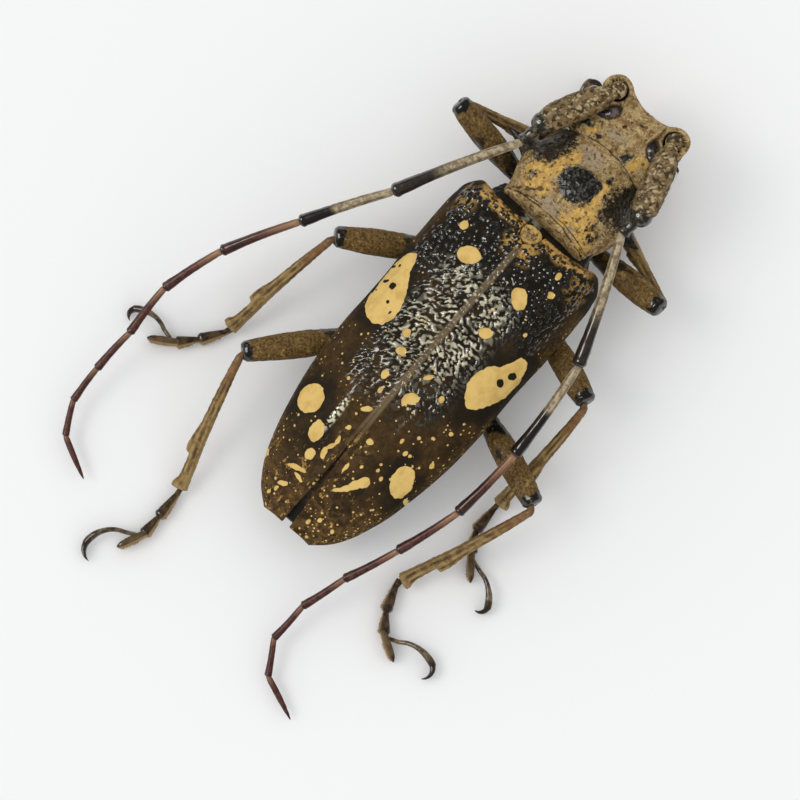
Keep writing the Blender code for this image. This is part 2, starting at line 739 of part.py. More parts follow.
def make_shin(leg):
    """Make a leg's shin, bowed, wider towards the foot and notched on its outer side behind the front pair."""
    _, knee, way = thigh_axis(leg)
    ankle = Vector(leg.ankle)
    down = (ankle - knee).normalized()
    aside = (down - way * down.dot(way)).normalized()
    forward, sideways = SHIN_START[leg.pair]
    start = knee + way * forward + aside * sideways
    run = ankle - start
    outer = run.cross(Vector((0, 0, 1))).normalized() * leg.bow
    profile = SHIN_PROFILE[leg.pair]
    path = [start + run * share + outer * bulge for share, bulge, _ in profile]
    sizes = [(radius, radius * SHIN_FLATNESS) for _, _, radius in profile]
    return tube("leg_" + leg.pair + "_" + leg.side + "_tibia", path, sizes, LEG_SIDES)


def heading_vector(degrees):
    """Give the level direction of a heading."""
    return Vector((math.cos(math.radians(degrees)), math.sin(math.radians(degrees)), 0.0))


def block(name, start, way, length, rows):
    """Loft upright rounded slabs along a level way; rows hold share of length, half width, bottom and top."""
    across = Vector((-way.y, way.x, 0.0))
    rings = []
    for share, half_width, bottom, top in rows:
        middle = start + way * (share * length)
        ring = []
        for side, height in ((-0.55, bottom), (0.55, bottom), (1.0, bottom + 0.25 * (top - bottom)),
                             (1.0, bottom + 0.75 * (top - bottom)), (0.55, top), (-0.55, top),
                             (-1.0, bottom + 0.75 * (top - bottom)), (-1.0, bottom + 0.25 * (top - bottom))):
            ring.append(Vector((middle.x, middle.y, height)) + across * (half_width * side))
        rings.append(ring)
    return loft(name, rings)


def foot_points(leg):
    """Give where each of the foot's three pads starts, and where the last one ends."""
    point = Vector(leg.foot_start)
    points = [point]
    for length, heading in zip(FOOT_LENGTHS, leg.foot_headings):
        point = point + heading_vector(heading) * (length * leg.foot_scale)
        points.append(point)
    return points


def make_foot(leg):
    """Make a foot's three pads, lying on their sides on the floor, the last one split in two lobes."""
    points = foot_points(leg)
    lengths = [length * leg.foot_scale for length in FOOT_LENGTHS]
    ways = [heading_vector(heading) for heading in leg.foot_headings]
    name = "leg_" + leg.pair + "_" + leg.side + "_tarsus"
    body = block(name, points[0], ways[0], lengths[0], PAD_ROWS)
    start = points[1] - ways[1] * PAD_OVERLAP
    pads = [block("pad", start, ways[1], lengths[1] + PAD_OVERLAP, PAD_ROWS)]
    for rows in (LOW_LOBE_ROWS, HIGH_LOBE_ROWS, HEEL_ROWS):
        pads.append(block("lobe", points[2], ways[2], lengths[2], rows))
    return combine(body, pads, "UNION")


def claw_joint_path(leg):
    """Follow a foot's long bent claw joint from its root between the lobes to its end."""
    first, last = leg.claw_headings
    start = foot_points(leg)[2] + heading_vector(leg.foot_headings[2]) * (CLAW_JOINT_START * leg.foot_scale)
    point = start + heading_vector(first) * CLAW_JOINT_CLEARANCE + Vector((0, 0, CLAW_JOINT_HEIGHT))
    path = [point]
    step_length = CLAW_JOINT_LENGTH[leg.pair] / (CLAW_JOINT_STEPS - 1)
    for share in spread(0.0, 1.0, CLAW_JOINT_STEPS)[1:]:
        heading = first + (last - first) * share ** 0.8
        point = point + heading_vector(heading) * step_length
        path.append(point + Vector((0, 0, CLAW_JOINT_ARCH * math.sin(math.pi * share))))
    return path


def make_claws(leg):
    """Make a foot's long bent claw joint with its two claws."""
    path = claw_joint_path(leg)
    heading_end = leg.claw_headings[1]
    claw_step = CLAW_LENGTH[leg.pair] / (CLAW_STEPS - 1)
    sizes = []
    for share in spread(0.0, 1.0, CLAW_JOINT_STEPS):
        radius = float(np.interp(share, *zip(*CLAW_JOINT_SIZES)))
        sizes.append((radius, radius))
    body = tube("leg_" + leg.pair + "_" + leg.side + "_claws", path, sizes, 8)
    claws = []
    for lean in (-1, 1):
        root = path[-1] + Vector((0, 0, CLAW_ROOT_SPLAY * lean))
        flat = root - heading_vector(heading_end) * 0.15
        claw = [flat]
        radii = [(CLAW_RADIUS, CLAW_RADIUS)]
        for share in spread(0.0, 1.0, CLAW_STEPS)[1:]:
            flat = flat + heading_vector(heading_end + leg.claw_turn * share) * claw_step
            rise = (CLAW_SPLAY - CLAW_ROOT_SPLAY) * lean * math.sin(0.5 * math.pi * share)
            claw.append(flat + Vector((0, 0, rise)))
            radius = CLAW_RADIUS + (CLAW_TIP_RADIUS - CLAW_RADIUS) * share
            radii.append((radius, radius))
        claws.append(tube("claw", claw, radii, 6))
    return combine(body, claws, "UNION")


def make_materials():
    """Make every finish of the beetle, with colours as linear values."""
    return {
        "wing_case": make_material("wing_case_brown", (0.045, 0.027, 0.018), 0.45),
        "thorax": make_material("thorax_ochre", (0.36, 0.2, 0.07), 0.7),
        "belly": make_material("belly_grey_brown", (0.13, 0.1, 0.07), 0.65),
        "eye": make_material("eye_dark", (0.03, 0.025, 0.028), 0.2),
        "mouth": make_material("mouth_black", (0.015, 0.012, 0.012), 0.25),
        "scape": make_material("scape_tan", (0.25, 0.18, 0.11), 0.6),
        "feeler": make_material("feeler_red_brown", (0.14, 0.07, 0.055), 0.4),
        "leg": make_material("leg_olive_brown", (0.16, 0.115, 0.055), 0.55),
        "foot": make_material("foot_dark", (0.07, 0.05, 0.04), 0.45),
    }


def build_body(materials):
    """Build the trunk and the wing cases."""
    return [
        finish(make_prothorax(), materials["thorax"]),
        finish(make_scutellum(), materials["thorax"]),
        finish(make_hind_thorax(), materials["belly"]),
        finish(make_abdomen(), materials["belly"]),
        finish(wing_case("elytron_left", 1), materials["wing_case"]),
        finish(wing_case("elytron_right", -1), materials["wing_case"]),
    ]


def build_head(materials):
    """Build the head, the eyes and the mouth."""
    bodies = [finish(make_head(), materials["thorax"]), finish(make_labrum(), materials["mouth"])]
    for side, sign in (("left", 1), ("right", -1)):
        bodies.append(finish(place_on_head(eye_body("eye_" + side, sign, 0.0)), materials["eye"]))
        bodies.append(finish(mouth_piece("mandible_" + side, sign, JAW_ROWS, 10), materials["mouth"]))
        bodies.append(finish(mouth_piece("palp_" + side, sign, PALP_ROWS, 8), materials["mouth"]))
    return bodies


def build_feelers(materials):
    """Build both feelers in four lengths each."""
    bodies = []
    for feeler in FEELERS:
        bodies.append(finish(make_scape(feeler), materials["scape"]))
        for part, first, last in FEELER_NODES:
            bodies.append(finish(make_feeler_length(feeler, part, first, last), materials["feeler"]))
    return bodies


def build_legs(materials):
    """Build the six legs in four lengths each."""
    bodies = []
    for leg in LEGS:
        bodies.append(finish(make_thigh(leg), materials["leg"]))
        bodies.append(finish(make_shin(leg), materials["leg"]))
        bodies.append(finish(make_foot(leg), materials["foot"]))
        bodies.append(finish(make_claws(leg), materials["foot"]))
    return bodies


def main():
    """Build the beetle and set it over the origin."""
    for body in list(bpy.data.objects):
        bpy.data.objects.remove(body, do_unlink=True)
    materials = make_materials()
    bodies = build_body(materials) + build_head(materials) + build_feelers(materials) + build_legs(materials)
    corners = [vert.co for body in bodies for vert in body.data.vertices]
    low = Vector(tuple(min(corner[axis] for corner in corners) for axis in range(3)))
    high = Vector(tuple(max(corner[axis] for corner in corners) for axis in range(3)))
    frame = bpy.data.objects.new("beetle_frame", None)
    bpy.context.scene.collection.objects.link(frame)
    frame.location = (-(low.x + high.x) / 2, -(low.y + high.y) / 2, 0.0)
    for body in bodies:
        body.parent = frame


main()
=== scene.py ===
"""Dress the still model of a spotted longhorn beetle: plates, markings, grains, feelers, legs and light.

Shapes are drawn in millimetres about the beetle's own midline: the head looks along -Y, the left side is
+X and the floor is Z = 0. Skin.build() moves them into the frame, in metres. The plates and limbs are
grids of rings worked out in code, because their grains and ridges are far finer than edit tools can lay.
"""
from __future__ import annotations

import logging
import math
from dataclasses import dataclass, field
from enum import Enum
from typing import ClassVar

import bpy
import numpy as np
from mathutils import Matrix, Vector, noise


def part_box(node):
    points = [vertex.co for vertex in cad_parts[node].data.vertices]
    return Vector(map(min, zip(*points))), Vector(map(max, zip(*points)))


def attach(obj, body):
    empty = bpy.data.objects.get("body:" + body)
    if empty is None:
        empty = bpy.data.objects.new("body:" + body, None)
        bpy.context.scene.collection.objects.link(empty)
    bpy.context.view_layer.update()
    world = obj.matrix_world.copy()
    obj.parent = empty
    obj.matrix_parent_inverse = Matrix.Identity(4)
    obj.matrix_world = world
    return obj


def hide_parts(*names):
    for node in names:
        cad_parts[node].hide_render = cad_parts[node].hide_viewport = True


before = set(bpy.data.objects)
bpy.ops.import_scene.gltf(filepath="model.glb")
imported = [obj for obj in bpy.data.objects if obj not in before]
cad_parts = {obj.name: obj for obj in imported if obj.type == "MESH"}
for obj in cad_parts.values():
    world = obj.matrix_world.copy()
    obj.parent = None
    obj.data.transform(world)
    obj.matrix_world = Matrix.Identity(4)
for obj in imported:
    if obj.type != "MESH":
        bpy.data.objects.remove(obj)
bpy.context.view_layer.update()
LOG = logging.getLogger("beetle")
MM = 0.001
Array = np.ndarray
Socket = bpy.types.NodeSocket

# The front of the body is turned a little to the beetle's right
NECK = np.array((0.1, -8.0, 0.0))
PROTHORAX_TURN = -3.5
HEAD_PIVOT = np.array((0.0, -15.4, 0.0))
HEAD_SHIFT = np.array((-0.5, 0.0, 0.0))
HEAD_TURN = -3.0

# Where the wing cases start along Y, which ties the beetle's own axes to the frame
WING_CASE_FRONT = -7.5


class Side(Enum):
    """Which side of the beetle a piece belongs to."""

    LEFT = 1
    RIGHT = -1

    @property
    def word(self) -> str:
        """Give the side's word as node names have it."""
        return self.name.lower()


class Pair(Enum):
    """Which pair of legs a leg belongs to."""

    FORE = "fore"
    MID = "mid"
    HIND = "hind"


def own_axes_shift() -> Array:
    """Work out from the wing cases' solids how the beetle's own axes lie in the frame.

    Returns:
        The shift in millimetres from the beetle's own axes to the frame.
    """
    low_left, high_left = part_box("elytron_left")
    low_right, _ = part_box("elytron_right")
    across = (high_left.x + low_right.x) / 2
    return np.array((across / MM, low_left.y / MM - WING_CASE_FRONT, 0.0))


SHIFT = own_axes_shift()


def srgb(colour: tuple) -> tuple[float, float, float, float]:
    """Turn a colour as seen on a screen into linear values.

    Args:
        colour: Red, green and blue, 0 to 255.

    Returns:
        Linear red, green and blue, and full cover.
    """
    shares = [value / 255 for value in colour]
    linear = [share / 12.92 if share < 0.04045 else ((share + 0.055) / 1.055) ** 2.4 for share in shares]
    return linear[0], linear[1], linear[2], 1.0


def soft(value: Array | float, low: float, high: float) -> Array:
    """Rise smoothly from 0 at low to 1 at high, or fall where low is the larger.

    Args:
        value: The values to read.
        low: Where the result is 0.
        high: Where the result is 1.

    Returns:
        Shares from 0 to 1.
    """
    share = np.clip((np.asarray(value, dtype=float) - low) / (high - low), 0.0, 1.0)
    return share * share * (3 - 2 * share)


def held(value: Array) -> Array:
    """Hold values between 0 and 1."""
    return np.clip(value, 0, 1)


def hump(value: Array, middle: float, width: float) -> Array:
    """Rise to 1 at the middle and fall away smoothly over a width."""
    return np.exp(-((value - middle) / width) ** 2)


def domes(near: Array, reach: float) -> Array:
    """Give the heights of round lumps from the distances to their middles."""
    return np.sqrt(held(1 - (near / reach) ** 2))


def ring_angles(count: int, offset: float = 0.0) -> Array:
    """Give the angles of evenly spread points round a ring."""
    return 2 * math.pi * (np.arange(count) + offset) / count


def even(radius: Array) -> Array:
    """Give round rings' half widths and half heights."""
    return np.stack((radius, radius), 1)


def curve_through(stations: tuple, positions: Array) -> Array:
    """Read a smooth curve through rows of a position and its values.

    Args:
        stations: Rows of a rising position and the values there.
        positions: Where to read the curve.

    Returns:
        One row of values for each position.
    """
    marks = np.array([row[0] for row in stations], dtype=float)
    values = np.array([row[1:] for row in stations], dtype=float)
    slopes = np.gradient(values, marks, axis=0)
    places = np.clip(np.atleast_1d(positions).astype(float), marks[0], marks[-1])
    index = np.clip(np.searchsorted(marks, places) - 1, 0, len(marks) - 2)
    span = (marks[index + 1] - marks[index])[:, None]
    share = (places - marks[index])[:, None] / span
    square = share * share
    cube = square * share
    start = values[index] * (2 * cube - 3 * square + 1) + slopes[index] * span * (cube - 2 * square + share)
    return start + values[index + 1] * (3 * square - 2 * cube) + slopes[index + 1] * span * (cube - square)


def power_arc(angles: Array, fullness: float) -> tuple[Array, Array]:
    """Give the sideways and upward shares of a full, squarish arc.

    Args:
        angles: Angles from straight up, in radians.
        fullness: 2 for an ellipse, more for a squarer arc.

    Returns:
        Sideways shares and upward shares.
    """
    across = np.sign(np.sin(angles)) * np.abs(np.sin(angles)) ** (2 / fullness)
    upward = np.sign(np.cos(angles)) * np.abs(np.cos(angles)) ** (2 / fullness)
    return across, upward


def turned(points: Array, pivot: Array, degrees: float) -> Array:
    """Turn points about a vertical line through a pivot.

    Args:
        points: Points, the last axis holding X, Y and Z.
        pivot: A point on the line.
        degrees: How far, anticlockwise from above.

    Returns:
        The turned points.
    """
    turn = np.array(Matrix.Rotation(math.radians(degrees), 3, "Z"))
    return (np.asarray(points, dtype=float) - pivot) @ turn.T + pivot


def on_thorax(points: Array) -> Array:
    """Turn points that belong to the first thorax ring with it."""
    return turned(points, NECK, PROTHORAX_TURN)


def on_head(points: Array) -> Array:
    """Turn and move points that belong to the head with it."""
    return turned(points, HEAD_PIVOT, HEAD_TURN) + HEAD_SHIFT


def heading_vector(degrees: float) -> Array:
    """Give the level direction of a heading."""
    return np.array((math.cos(math.radians(degrees)), math.sin(math.radians(degrees)), 0.0))


def unit(vector: Array) -> Array:
    """Give a vector's direction at length 1."""
    return np.asarray(vector, dtype=float) / np.linalg.norm(vector)


def cloud(points: Array, size: tuple | float, seed: int) -> Array:
    """Read smooth noise at points.

    Args:
        points: Points in millimetres.
        size: The size of one swelling, or its size along each axis.
        seed: Which noise to read.

    Returns:
        Values from about -0.5 to 0.5, in the points' own layout.
    """
    scaled = points.reshape(-1, 3) / np.array(size, dtype=float) + 31.7 * seed
    return np.array([noise.noise(point) for point in scaled.tolist()]).reshape(points.shape[:-1])


def grains(points: Array, size: float, seed: int) -> tuple[Array, Array]:
    """Scatter cells over points.

    Args:
        points: Points in millimetres.
        size: About how far apart the cells' middles lie.
        seed: Which scatter to read.

    Returns:
        The distance to the nearest middle, and how much further the next one is, both in cell sizes.
    """
    scaled = points.reshape(-1, 3) / size + 17.3 * seed
    found = [noise.voronoi(point)[0][:2] for point in scaled.tolist()]
    near, following = np.array(found).T
    layout = points.shape[:-1]
    return near.reshape(layout), (following - near).reshape(layout)


@dataclass(frozen=True)
class Spot:
    """An oval mark seen from above: its middle, half length, half width and the heading of its length."""

    x: float
    y: float
    half_length: float
    half_width: float
    heading: float = 90.0

    def depth(self, x: Array, y: Array) -> Array:
        """Give how deep each point lies inside the mark, in millimetres, less than 0 outside.

        Args:
            x: The points' X.
            y: The points' Y.

        Returns:
            Depths in millimetres.
        """
        way = heading_vector(self.heading)
        along = ((x - self.x) * way[0] + (y - self.y) * way[1]) / self.half_length
        across = ((y - self.y) * way[0] - (x - self.x) * way[1]) / self.half_width
        return (1 - np.sqrt(along ** 2 + across ** 2)) * min(self.half_length, self.half_width)


def outline_depth(outline: tuple, x: Array, y: Array) -> Array:
    """Give how deep points lie inside a closed outline seen from above.

    Args:
        outline: The outline's corners in order.
        x: The points' X.
        y: The points' Y.

    Returns:
        Depths in millimetres, less than 0 outside.
    """
    nearest = np.full(x.shape, 1e9)
    inside = np.zeros(x.shape, dtype=bool)
    for (ax, ay), (bx, by) in zip(outline, outline[1:] + outline[:1]):
        share = held(((x - ax) * (bx - ax) + (y - ay) * (by - ay)) / ((bx - ax) ** 2 + (by - ay) ** 2))
        nearest = np.minimum(nearest, np.hypot(x - ax - share * (bx - ax), y - ay - share * (by - ay)))
        if ay != by:
            crossing = (ay > y) != (by > y)
            inside ^= crossing & (x < (bx - ax) * (y - ay) / (by - ay) + ax)
    return np.where(inside, nearest, -nearest)


def deepest(spots: tuple, x: Array, y: Array) -> Array:
    """Give how deep points lie in the nearest of several marks."""
    return np.max([spot.depth(x, y) for spot in spots], axis=0)


@dataclass
class Skin:
    """The points, faces and point values of a mesh that is still being drawn, in millimetres."""

    points: Array = field(default_factory=lambda: np.zeros((0, 3)))
    faces: list = field(default_factory=list)
    values: dict = field(default_factory=dict)
    tufts: list = field(default_factory=list)

    def add(self, other: Skin) -> Skin:
        """Join another skin's surfaces to this one.

        Args:
            other: The skin to add.

        Returns:
            This skin.
        """
        base = len(self.points)
        added = len(other.points)
        for name in set(self.values) | set(other.values):
            mine = self.values.get(name, np.zeros(base))
            theirs = other.values.get(name, np.zeros(added))
            self.values[name] = np.concatenate((mine, theirs))
        self.points = np.concatenate((self.points, other.points))
        self.faces.extend([tuple(corner + base for corner in face) for face in other.faces])
        self.tufts.extend(other.tufts)
        return self

    def faced_out(self) -> Skin:
        """Turn the faces round if they point inwards.

        Returns:
            This skin.
        """
        volume = 0.0
        for face in self.faces:
            first = self.points[face[0]]
            for second, third in zip(face[1:], face[2:]):
                volume += float(np.dot(first, np.cross(self.points[second], self.points[third])))
        if volume < 0:
            self.faces = [tuple(reversed(face)) for face in self.faces]
        return self

    def build(self, name: str, material: bpy.types.Material) -> bpy.types.Object:
        """Make the mesh object, in the frame's place and in metres.

        Args:
            name: The piece's name.
            material: The piece's finish.

        Returns:
            The new object.
        """
        mesh = bpy.data.meshes.new(name)
        mesh.from_pydata(((self.points + SHIFT) * MM).tolist(), [], self.faces)
        for key, numbers in self.values.items():
            layer = mesh.attributes.new(key, "FLOAT", "POINT")
            layer.data.foreach_set("value", np.asarray(numbers, dtype=np.float32))
        if self.tufts:
            places = np.array(self.tufts)
            corners = np.zeros(len(mesh.loops), dtype=np.int32)
            mesh.loops.foreach_get("vertex_index", corners)
            layer = mesh.uv_layers.new(name="OFBake")
            layer.data.foreach_set("uv", places[corners].astype(np.float32).ravel())
        mesh.materials.append(material)
        mesh.shade_smooth()
        mesh.update()
        piece = bpy.data.objects.new(name, mesh)
        bpy.context.scene.collection.objects.link(piece)
        return piece


def volume_sign(rings: Array) -> float:
    """Tell whether rings run so that quads from ring to ring face outwards, as plus or minus 1.

    Args:
        rings: The rings, by ring, place round it and axis.

    Returns:
        1 or -1.
    """
    middle = rings.mean(axis=(0, 1))
    shifted = rings - middle
    following = np.roll(shifted, -1, axis=1)
    area = np.cross(shifted[:-1], following[:-1])
    return float(np.sign(np.sum(area * shifted[1:])))


def ring_skin(rings: Array, values: dict) -> Skin:
    """Join closed rings into one closed skin with a flat face at each end.

    Args:
        rings: Points by ring, place round the ring and axis.
        values: Point values in the rings' layout.

    Returns:
        The skin, its faces pointing outwards.
    """
    rows, columns = rings.shape[:2]
    index = np.arange(rows * columns).reshape(rows, columns)
    following = np.roll(index, -1, axis=1)
    quads = np.stack((index[:-1], following[:-1], following[1:], index[1:]), axis=-1).reshape(-1, 4)
    first = index[0][::-1]
    last = index[-1]
    if volume_sign(rings) < 0:
        quads = quads[:, ::-1]
        first = first[::-1]
        last = last[::-1]
    faces = [tuple(face) for face in quads.tolist()] + [tuple(first.tolist()), tuple(last.tolist())]
    flat = {name: np.broadcast_to(numbers, (rows, columns)).ravel() for name, numbers in values.items()}
    return Skin(rings.reshape(-1, 3), faces, flat)


def ring_normals(rings: Array) -> Array:
    """Give the outward directions of a grid of closed rings.

    Args:
        rings: The rings, by ring, place round it and axis.

    Returns:
        Directions of length 1.
    """
    along = np.gradient(rings, axis=0)
    around = np.roll(rings, -1, axis=1) - np.roll(rings, 1, axis=1)
    normal = np.cross(around, along) * volume_sign(rings)
    return normal / np.maximum(np.linalg.norm(normal, axis=2, keepdims=True), 1e-9)


def pushed(rings: Array, push: Array) -> Array:
    """Push each point of closed rings outwards."""
    return rings + ring_normals(rings) * push[..., None]


def tube(path: Array, sizes: Array, sides: int, upright: tuple = (0, 0, 1)) -> Array:
    """Lay oval rings along a path.

    Args:
        path: The ring middles.
        sizes: Half width and half height of each ring.
        sides: Points round each ring, the first beside the path on its right, then up and round.
        upright: Which way the rings' heights lie.

    Returns:
        The rings.
    """
    along = np.gradient(path, axis=0)
    along /= np.linalg.norm(along, axis=1, keepdims=True)
    across = np.cross(along, np.array(upright, dtype=float))
    across /= np.linalg.norm(across, axis=1, keepdims=True)
    up = np.cross(across, along)
    angles = ring_angles(sides)
    wide = across[:, None, :] * (sizes[:, 0:1] * np.cos(angles))[..., None]
    high = up[:, None, :] * (sizes[:, 1:2] * np.sin(angles))[..., None]
    return path[:, None, :] + wide + high


def smooth_path(corners: tuple | list | Array, steps: int) -> Array:
    """Draw a smooth path through corners, with steps points evenly spread by corner number."""
    rows = tuple((index, *corner) for index, corner in enumerate(np.asarray(corners, dtype=float).tolist()))
    return curve_through(rows, np.linspace(0, len(rows) - 1, steps))


def rounded(rings: int, start: float = 0.12, end: float = 0.12) -> Array:
    """Give width shares that round off both ends of a limb.

    Args:
        rings: How many rings there are.
        start: The share of the length that the first end's rounding takes.
        end: The share of the length that the last end's rounding takes.

    Returns:
        One share for each ring.
    """
    share = np.linspace(0, 1, rings)
    first = np.sqrt(held(1 - (1 - held(share / start)) ** 2))
    last = np.sqrt(held(1 - (1 - held((1 - share) / end)) ** 2))
    return np.maximum(first * last, 0.04)


def egg(middle: tuple | Array, radii: tuple, rings: int = 20, sides: int = 28) -> Skin:
    """Make a round or egg-shaped skin.

    Args:
        middle: Its middle.
        radii: Its radii along X, Y and Z.
        rings: How many rings it has.
        sides: How many points each ring has.

    Returns:
        The skin.
    """
    angles = np.linspace(0.06, math.pi - 0.06, rings)
    path = np.array([(middle[0], middle[1], middle[2] - radii[2] * math.cos(angle)) for angle in angles])
    sizes = np.stack((radii[0] * np.sin(angles), radii[1] * np.sin(angles)), axis=1)
    return ring_skin(tube(path, sizes, sides, (0, 1, 0)), {})


class Nodes:
    """Adds and links the nodes of one shader tree."""

    def __init__(self, tree: bpy.types.NodeTree, groups: dict | None = None) -> None:
        """Keep the tree that the nodes go into, the shared groups and the colour laid so far."""
        self.tree = tree
        self.groups = groups or {}
        self.base = None

    def add(self, kind: str, inputs: dict | None = None, **settings: object) -> bpy.types.Node:
        """Add a node.

        Args:
            kind: The node's type name.
            inputs: Values, sockets or the mesh's point values for the node's inputs, by name or number.
            settings: The node's own settings.

        Returns:
            The node.
        """
        node = self.tree.nodes.new(kind)
        for name, value in settings.items():
            setattr(node, name, value)
        for key, value in (inputs or {}).items():
            if isinstance(value, str):
                value = self.value(value)
            if isinstance(value, Socket):
                self.tree.links.new(value, node.inputs[key])
            else:
                node.inputs[key].default_value = value
        return node

    def value(self, name: str) -> Socket:
        """Read a point value of the mesh."""
        return self.add("ShaderNodeAttribute", attribute_name=name).outputs["Fac"]

    def place(self, scale: tuple | float = 1.0) -> Socket:
        """Give the object's own place in millimetres, times a scale or one for each axis.

        Args:
            scale: One number, or one for each axis.

        Returns:
            The scaled place.
        """
        spot = self.add("ShaderNodeTexCoord").outputs["Object"]
        sizes = (np.broadcast_to(scale, 3) / MM).tolist()
        return self.add("ShaderNodeVectorMath", {0: spot, 1: sizes}, operation="MULTIPLY").outputs[0]

    def mix(self, below: object, above: object, share: object) -> Socket:
        """Put one colour over another by a share, each a socket or red, green and blue."""
        below, above = (srgb(colour) if isinstance(colour, tuple) else colour for colour in (below, above))
        return self.add("ShaderNodeMix", {0: share, 6: below, 7: above}, data_type="RGBA").outputs[2]

    def lay(self, above: object, *shares: object) -> None:
        """Lay a colour over all that is laid so far, by the product of shares."""
        self.base = self.mix(self.base, above, self.times(*shares))

    def sum(self, first: object, second: object, operation: str = "ADD") -> Socket:
        """Combine two numbers."""
        return self.add("ShaderNodeMath", {0: first, 1: second}, operation=operation).outputs[0]

    def times(self, first: object, *others: object) -> Socket:
        """Multiply numbers."""
        for other in others:
            first = self.sum(first, other, "MULTIPLY")
        return first

    def less(self, first: object, second: object) -> Socket:
        """Take the second number from the first."""
        return self.sum(first, second, "SUBTRACT")

    def blotch(self, low: float, high: float, place: object, scale: float, *rest: float) -> Socket:
        """Give blotches that rise from 0 to 1 where noise passes from low to high."""
        return self.step(self.cloud(place, scale, *rest), low, high)

    def step(self, value: object, low: object, high: object) -> Socket:
        """Rise smoothly from 0 at low to 1 at high."""
        inputs = {"Value": value, "From Min": low, "From Max": high}
        return self.add("ShaderNodeMapRange", inputs, interpolation_type="SMOOTHSTEP").outputs[0]

    def cloud(self, place: object, scale: float, detail: float = 3.0, rough: float = 0.55) -> Socket:
        """Read noise from 0 to 1."""
        inputs = {"Vector": place, "Scale": scale, "Detail": detail, "Roughness": rough}
        return self.add("ShaderNodeTexNoise", inputs).outputs["Fac"]

    def down(self, place: object, fineness: float) -> bpy.types.Node:
        """Place the shared group of short flat hair."""
        return self.add("ShaderNodeGroup", {"Place": place, "Fineness": fineness}, node_tree=self.groups["down"])

    def specks(self, spread: float, radius: float, density: object, edge: float) -> Socket:
        """Place the shared group of scattered specks and give its mask."""
        inputs = {"Place": self.place(spread), "Radius": radius, "Density": density, "Edge": edge}
        return self.add("ShaderNodeGroup", inputs, node_tree=self.groups["specks"]).outputs["Mask"]


def new_group(name: str, inputs: tuple, outputs: tuple) -> tuple[bpy.types.NodeTree, Nodes, dict, dict]:
    """Start a shared shader node group.

    Args:
        name: The group's name.
        inputs: Pairs of input name and socket kind.
        outputs: Pairs of output name and socket kind.

    Returns:
        The group, its node adder, its inputs by name and its output node's sockets by name.
    """
    tree = bpy.data.node_groups.new(name, "ShaderNodeTree")
    for label, kind in inputs:
        tree.interface.new_socket(label, in_out="INPUT", socket_type=kind)
    for label, kind in outputs:
        tree.interface.new_socket(label, in_out="OUTPUT", socket_type=kind)
    nodes = Nodes(tree)
    given = nodes.add("NodeGroupInput").outputs
    wanted = nodes.add("NodeGroupOutput").inputs
    return tree, nodes, {label: given[label] for label, _ in inputs}, {label: wanted[label] for label, _ in outputs}


def specks_group() -> bpy.types.NodeTree:
    """Make the shared group that scatters small round specks of uneven size.

    Returns:
        The group. Its place is in cell sizes, and its radius and density are shares.
    """
    floats = "NodeSocketFloat"
    wants = (("Place", "NodeSocketVector"), ("Radius", floats), ("Density", floats), ("Edge", floats))
    tree, nodes, given, wanted = new_group("specks", wants, (("Mask", floats),))
    cell = nodes.add("ShaderNodeTexVoronoi", {"Vector": given["Place"], "Scale": 1.0})
    chance = nodes.add("ShaderNodeSeparateColor", {0: cell.outputs["Color"]})
    size = nodes.sum(nodes.times(chance.outputs[0], 0.65), 0.35)
    radius = nodes.times(given["Radius"], size)
    inner = nodes.less(radius, given["Edge"])
    disc = nodes.step(cell.outputs["Distance"], radius, inner)
    present = nodes.sum(chance.outputs[1], given["Density"], "LESS_THAN")
    tree.links.new(nodes.times(disc, present), wanted["Mask"])
    return tree


def down_group() -> bpy.types.NodeTree:
    """Make the shared group of short flat hair: a fine streaked height and a tone.

    Returns:
        The group. Its place is in millimetres.
    """
    floats = "NodeSocketFloat"
    wants = (("Place", "NodeSocketVector"), ("Fineness", floats))
    tree, nodes, given, wanted = new_group("down", wants, (("Height", floats), ("Tone", floats)))
    fine = nodes.add("ShaderNodeTexNoise", {"Vector": given["Place"], "Scale": given["Fineness"], "Detail": 4.0})
    coarse = nodes.times(given["Fineness"], 0.16)
    patchy = nodes.add("ShaderNodeTexNoise", {"Vector": given["Place"], "Scale": coarse, "Detail": 5.0,
            "Roughness": 0.7})
    tree.links.new(fine.outputs["Fac"], wanted["Height"])
    tree.links.new(patchy.outputs["Fac"], wanted["Tone"])
    return tree


class Palette:
    """The beetle's colours."""

    CREAM = (218, 186, 114)
    OCHRE = (186, 148, 80)
    TAN = (178, 156, 110)
    PALE_TAN = (196, 176, 134)
    GREY = (160, 148, 126)
    BROWN = (94, 68, 34)
    VELVET = (57, 42, 22)
    BLACK = (21, 20, 15)
    BLUE_BLACK = (24, 25, 23)
    RED_BROWN = (96, 54, 46)
    DARK_RED = (50, 30, 26)
    PALE_RED = (160, 122, 92)
    SUTURE = (114, 98, 74)


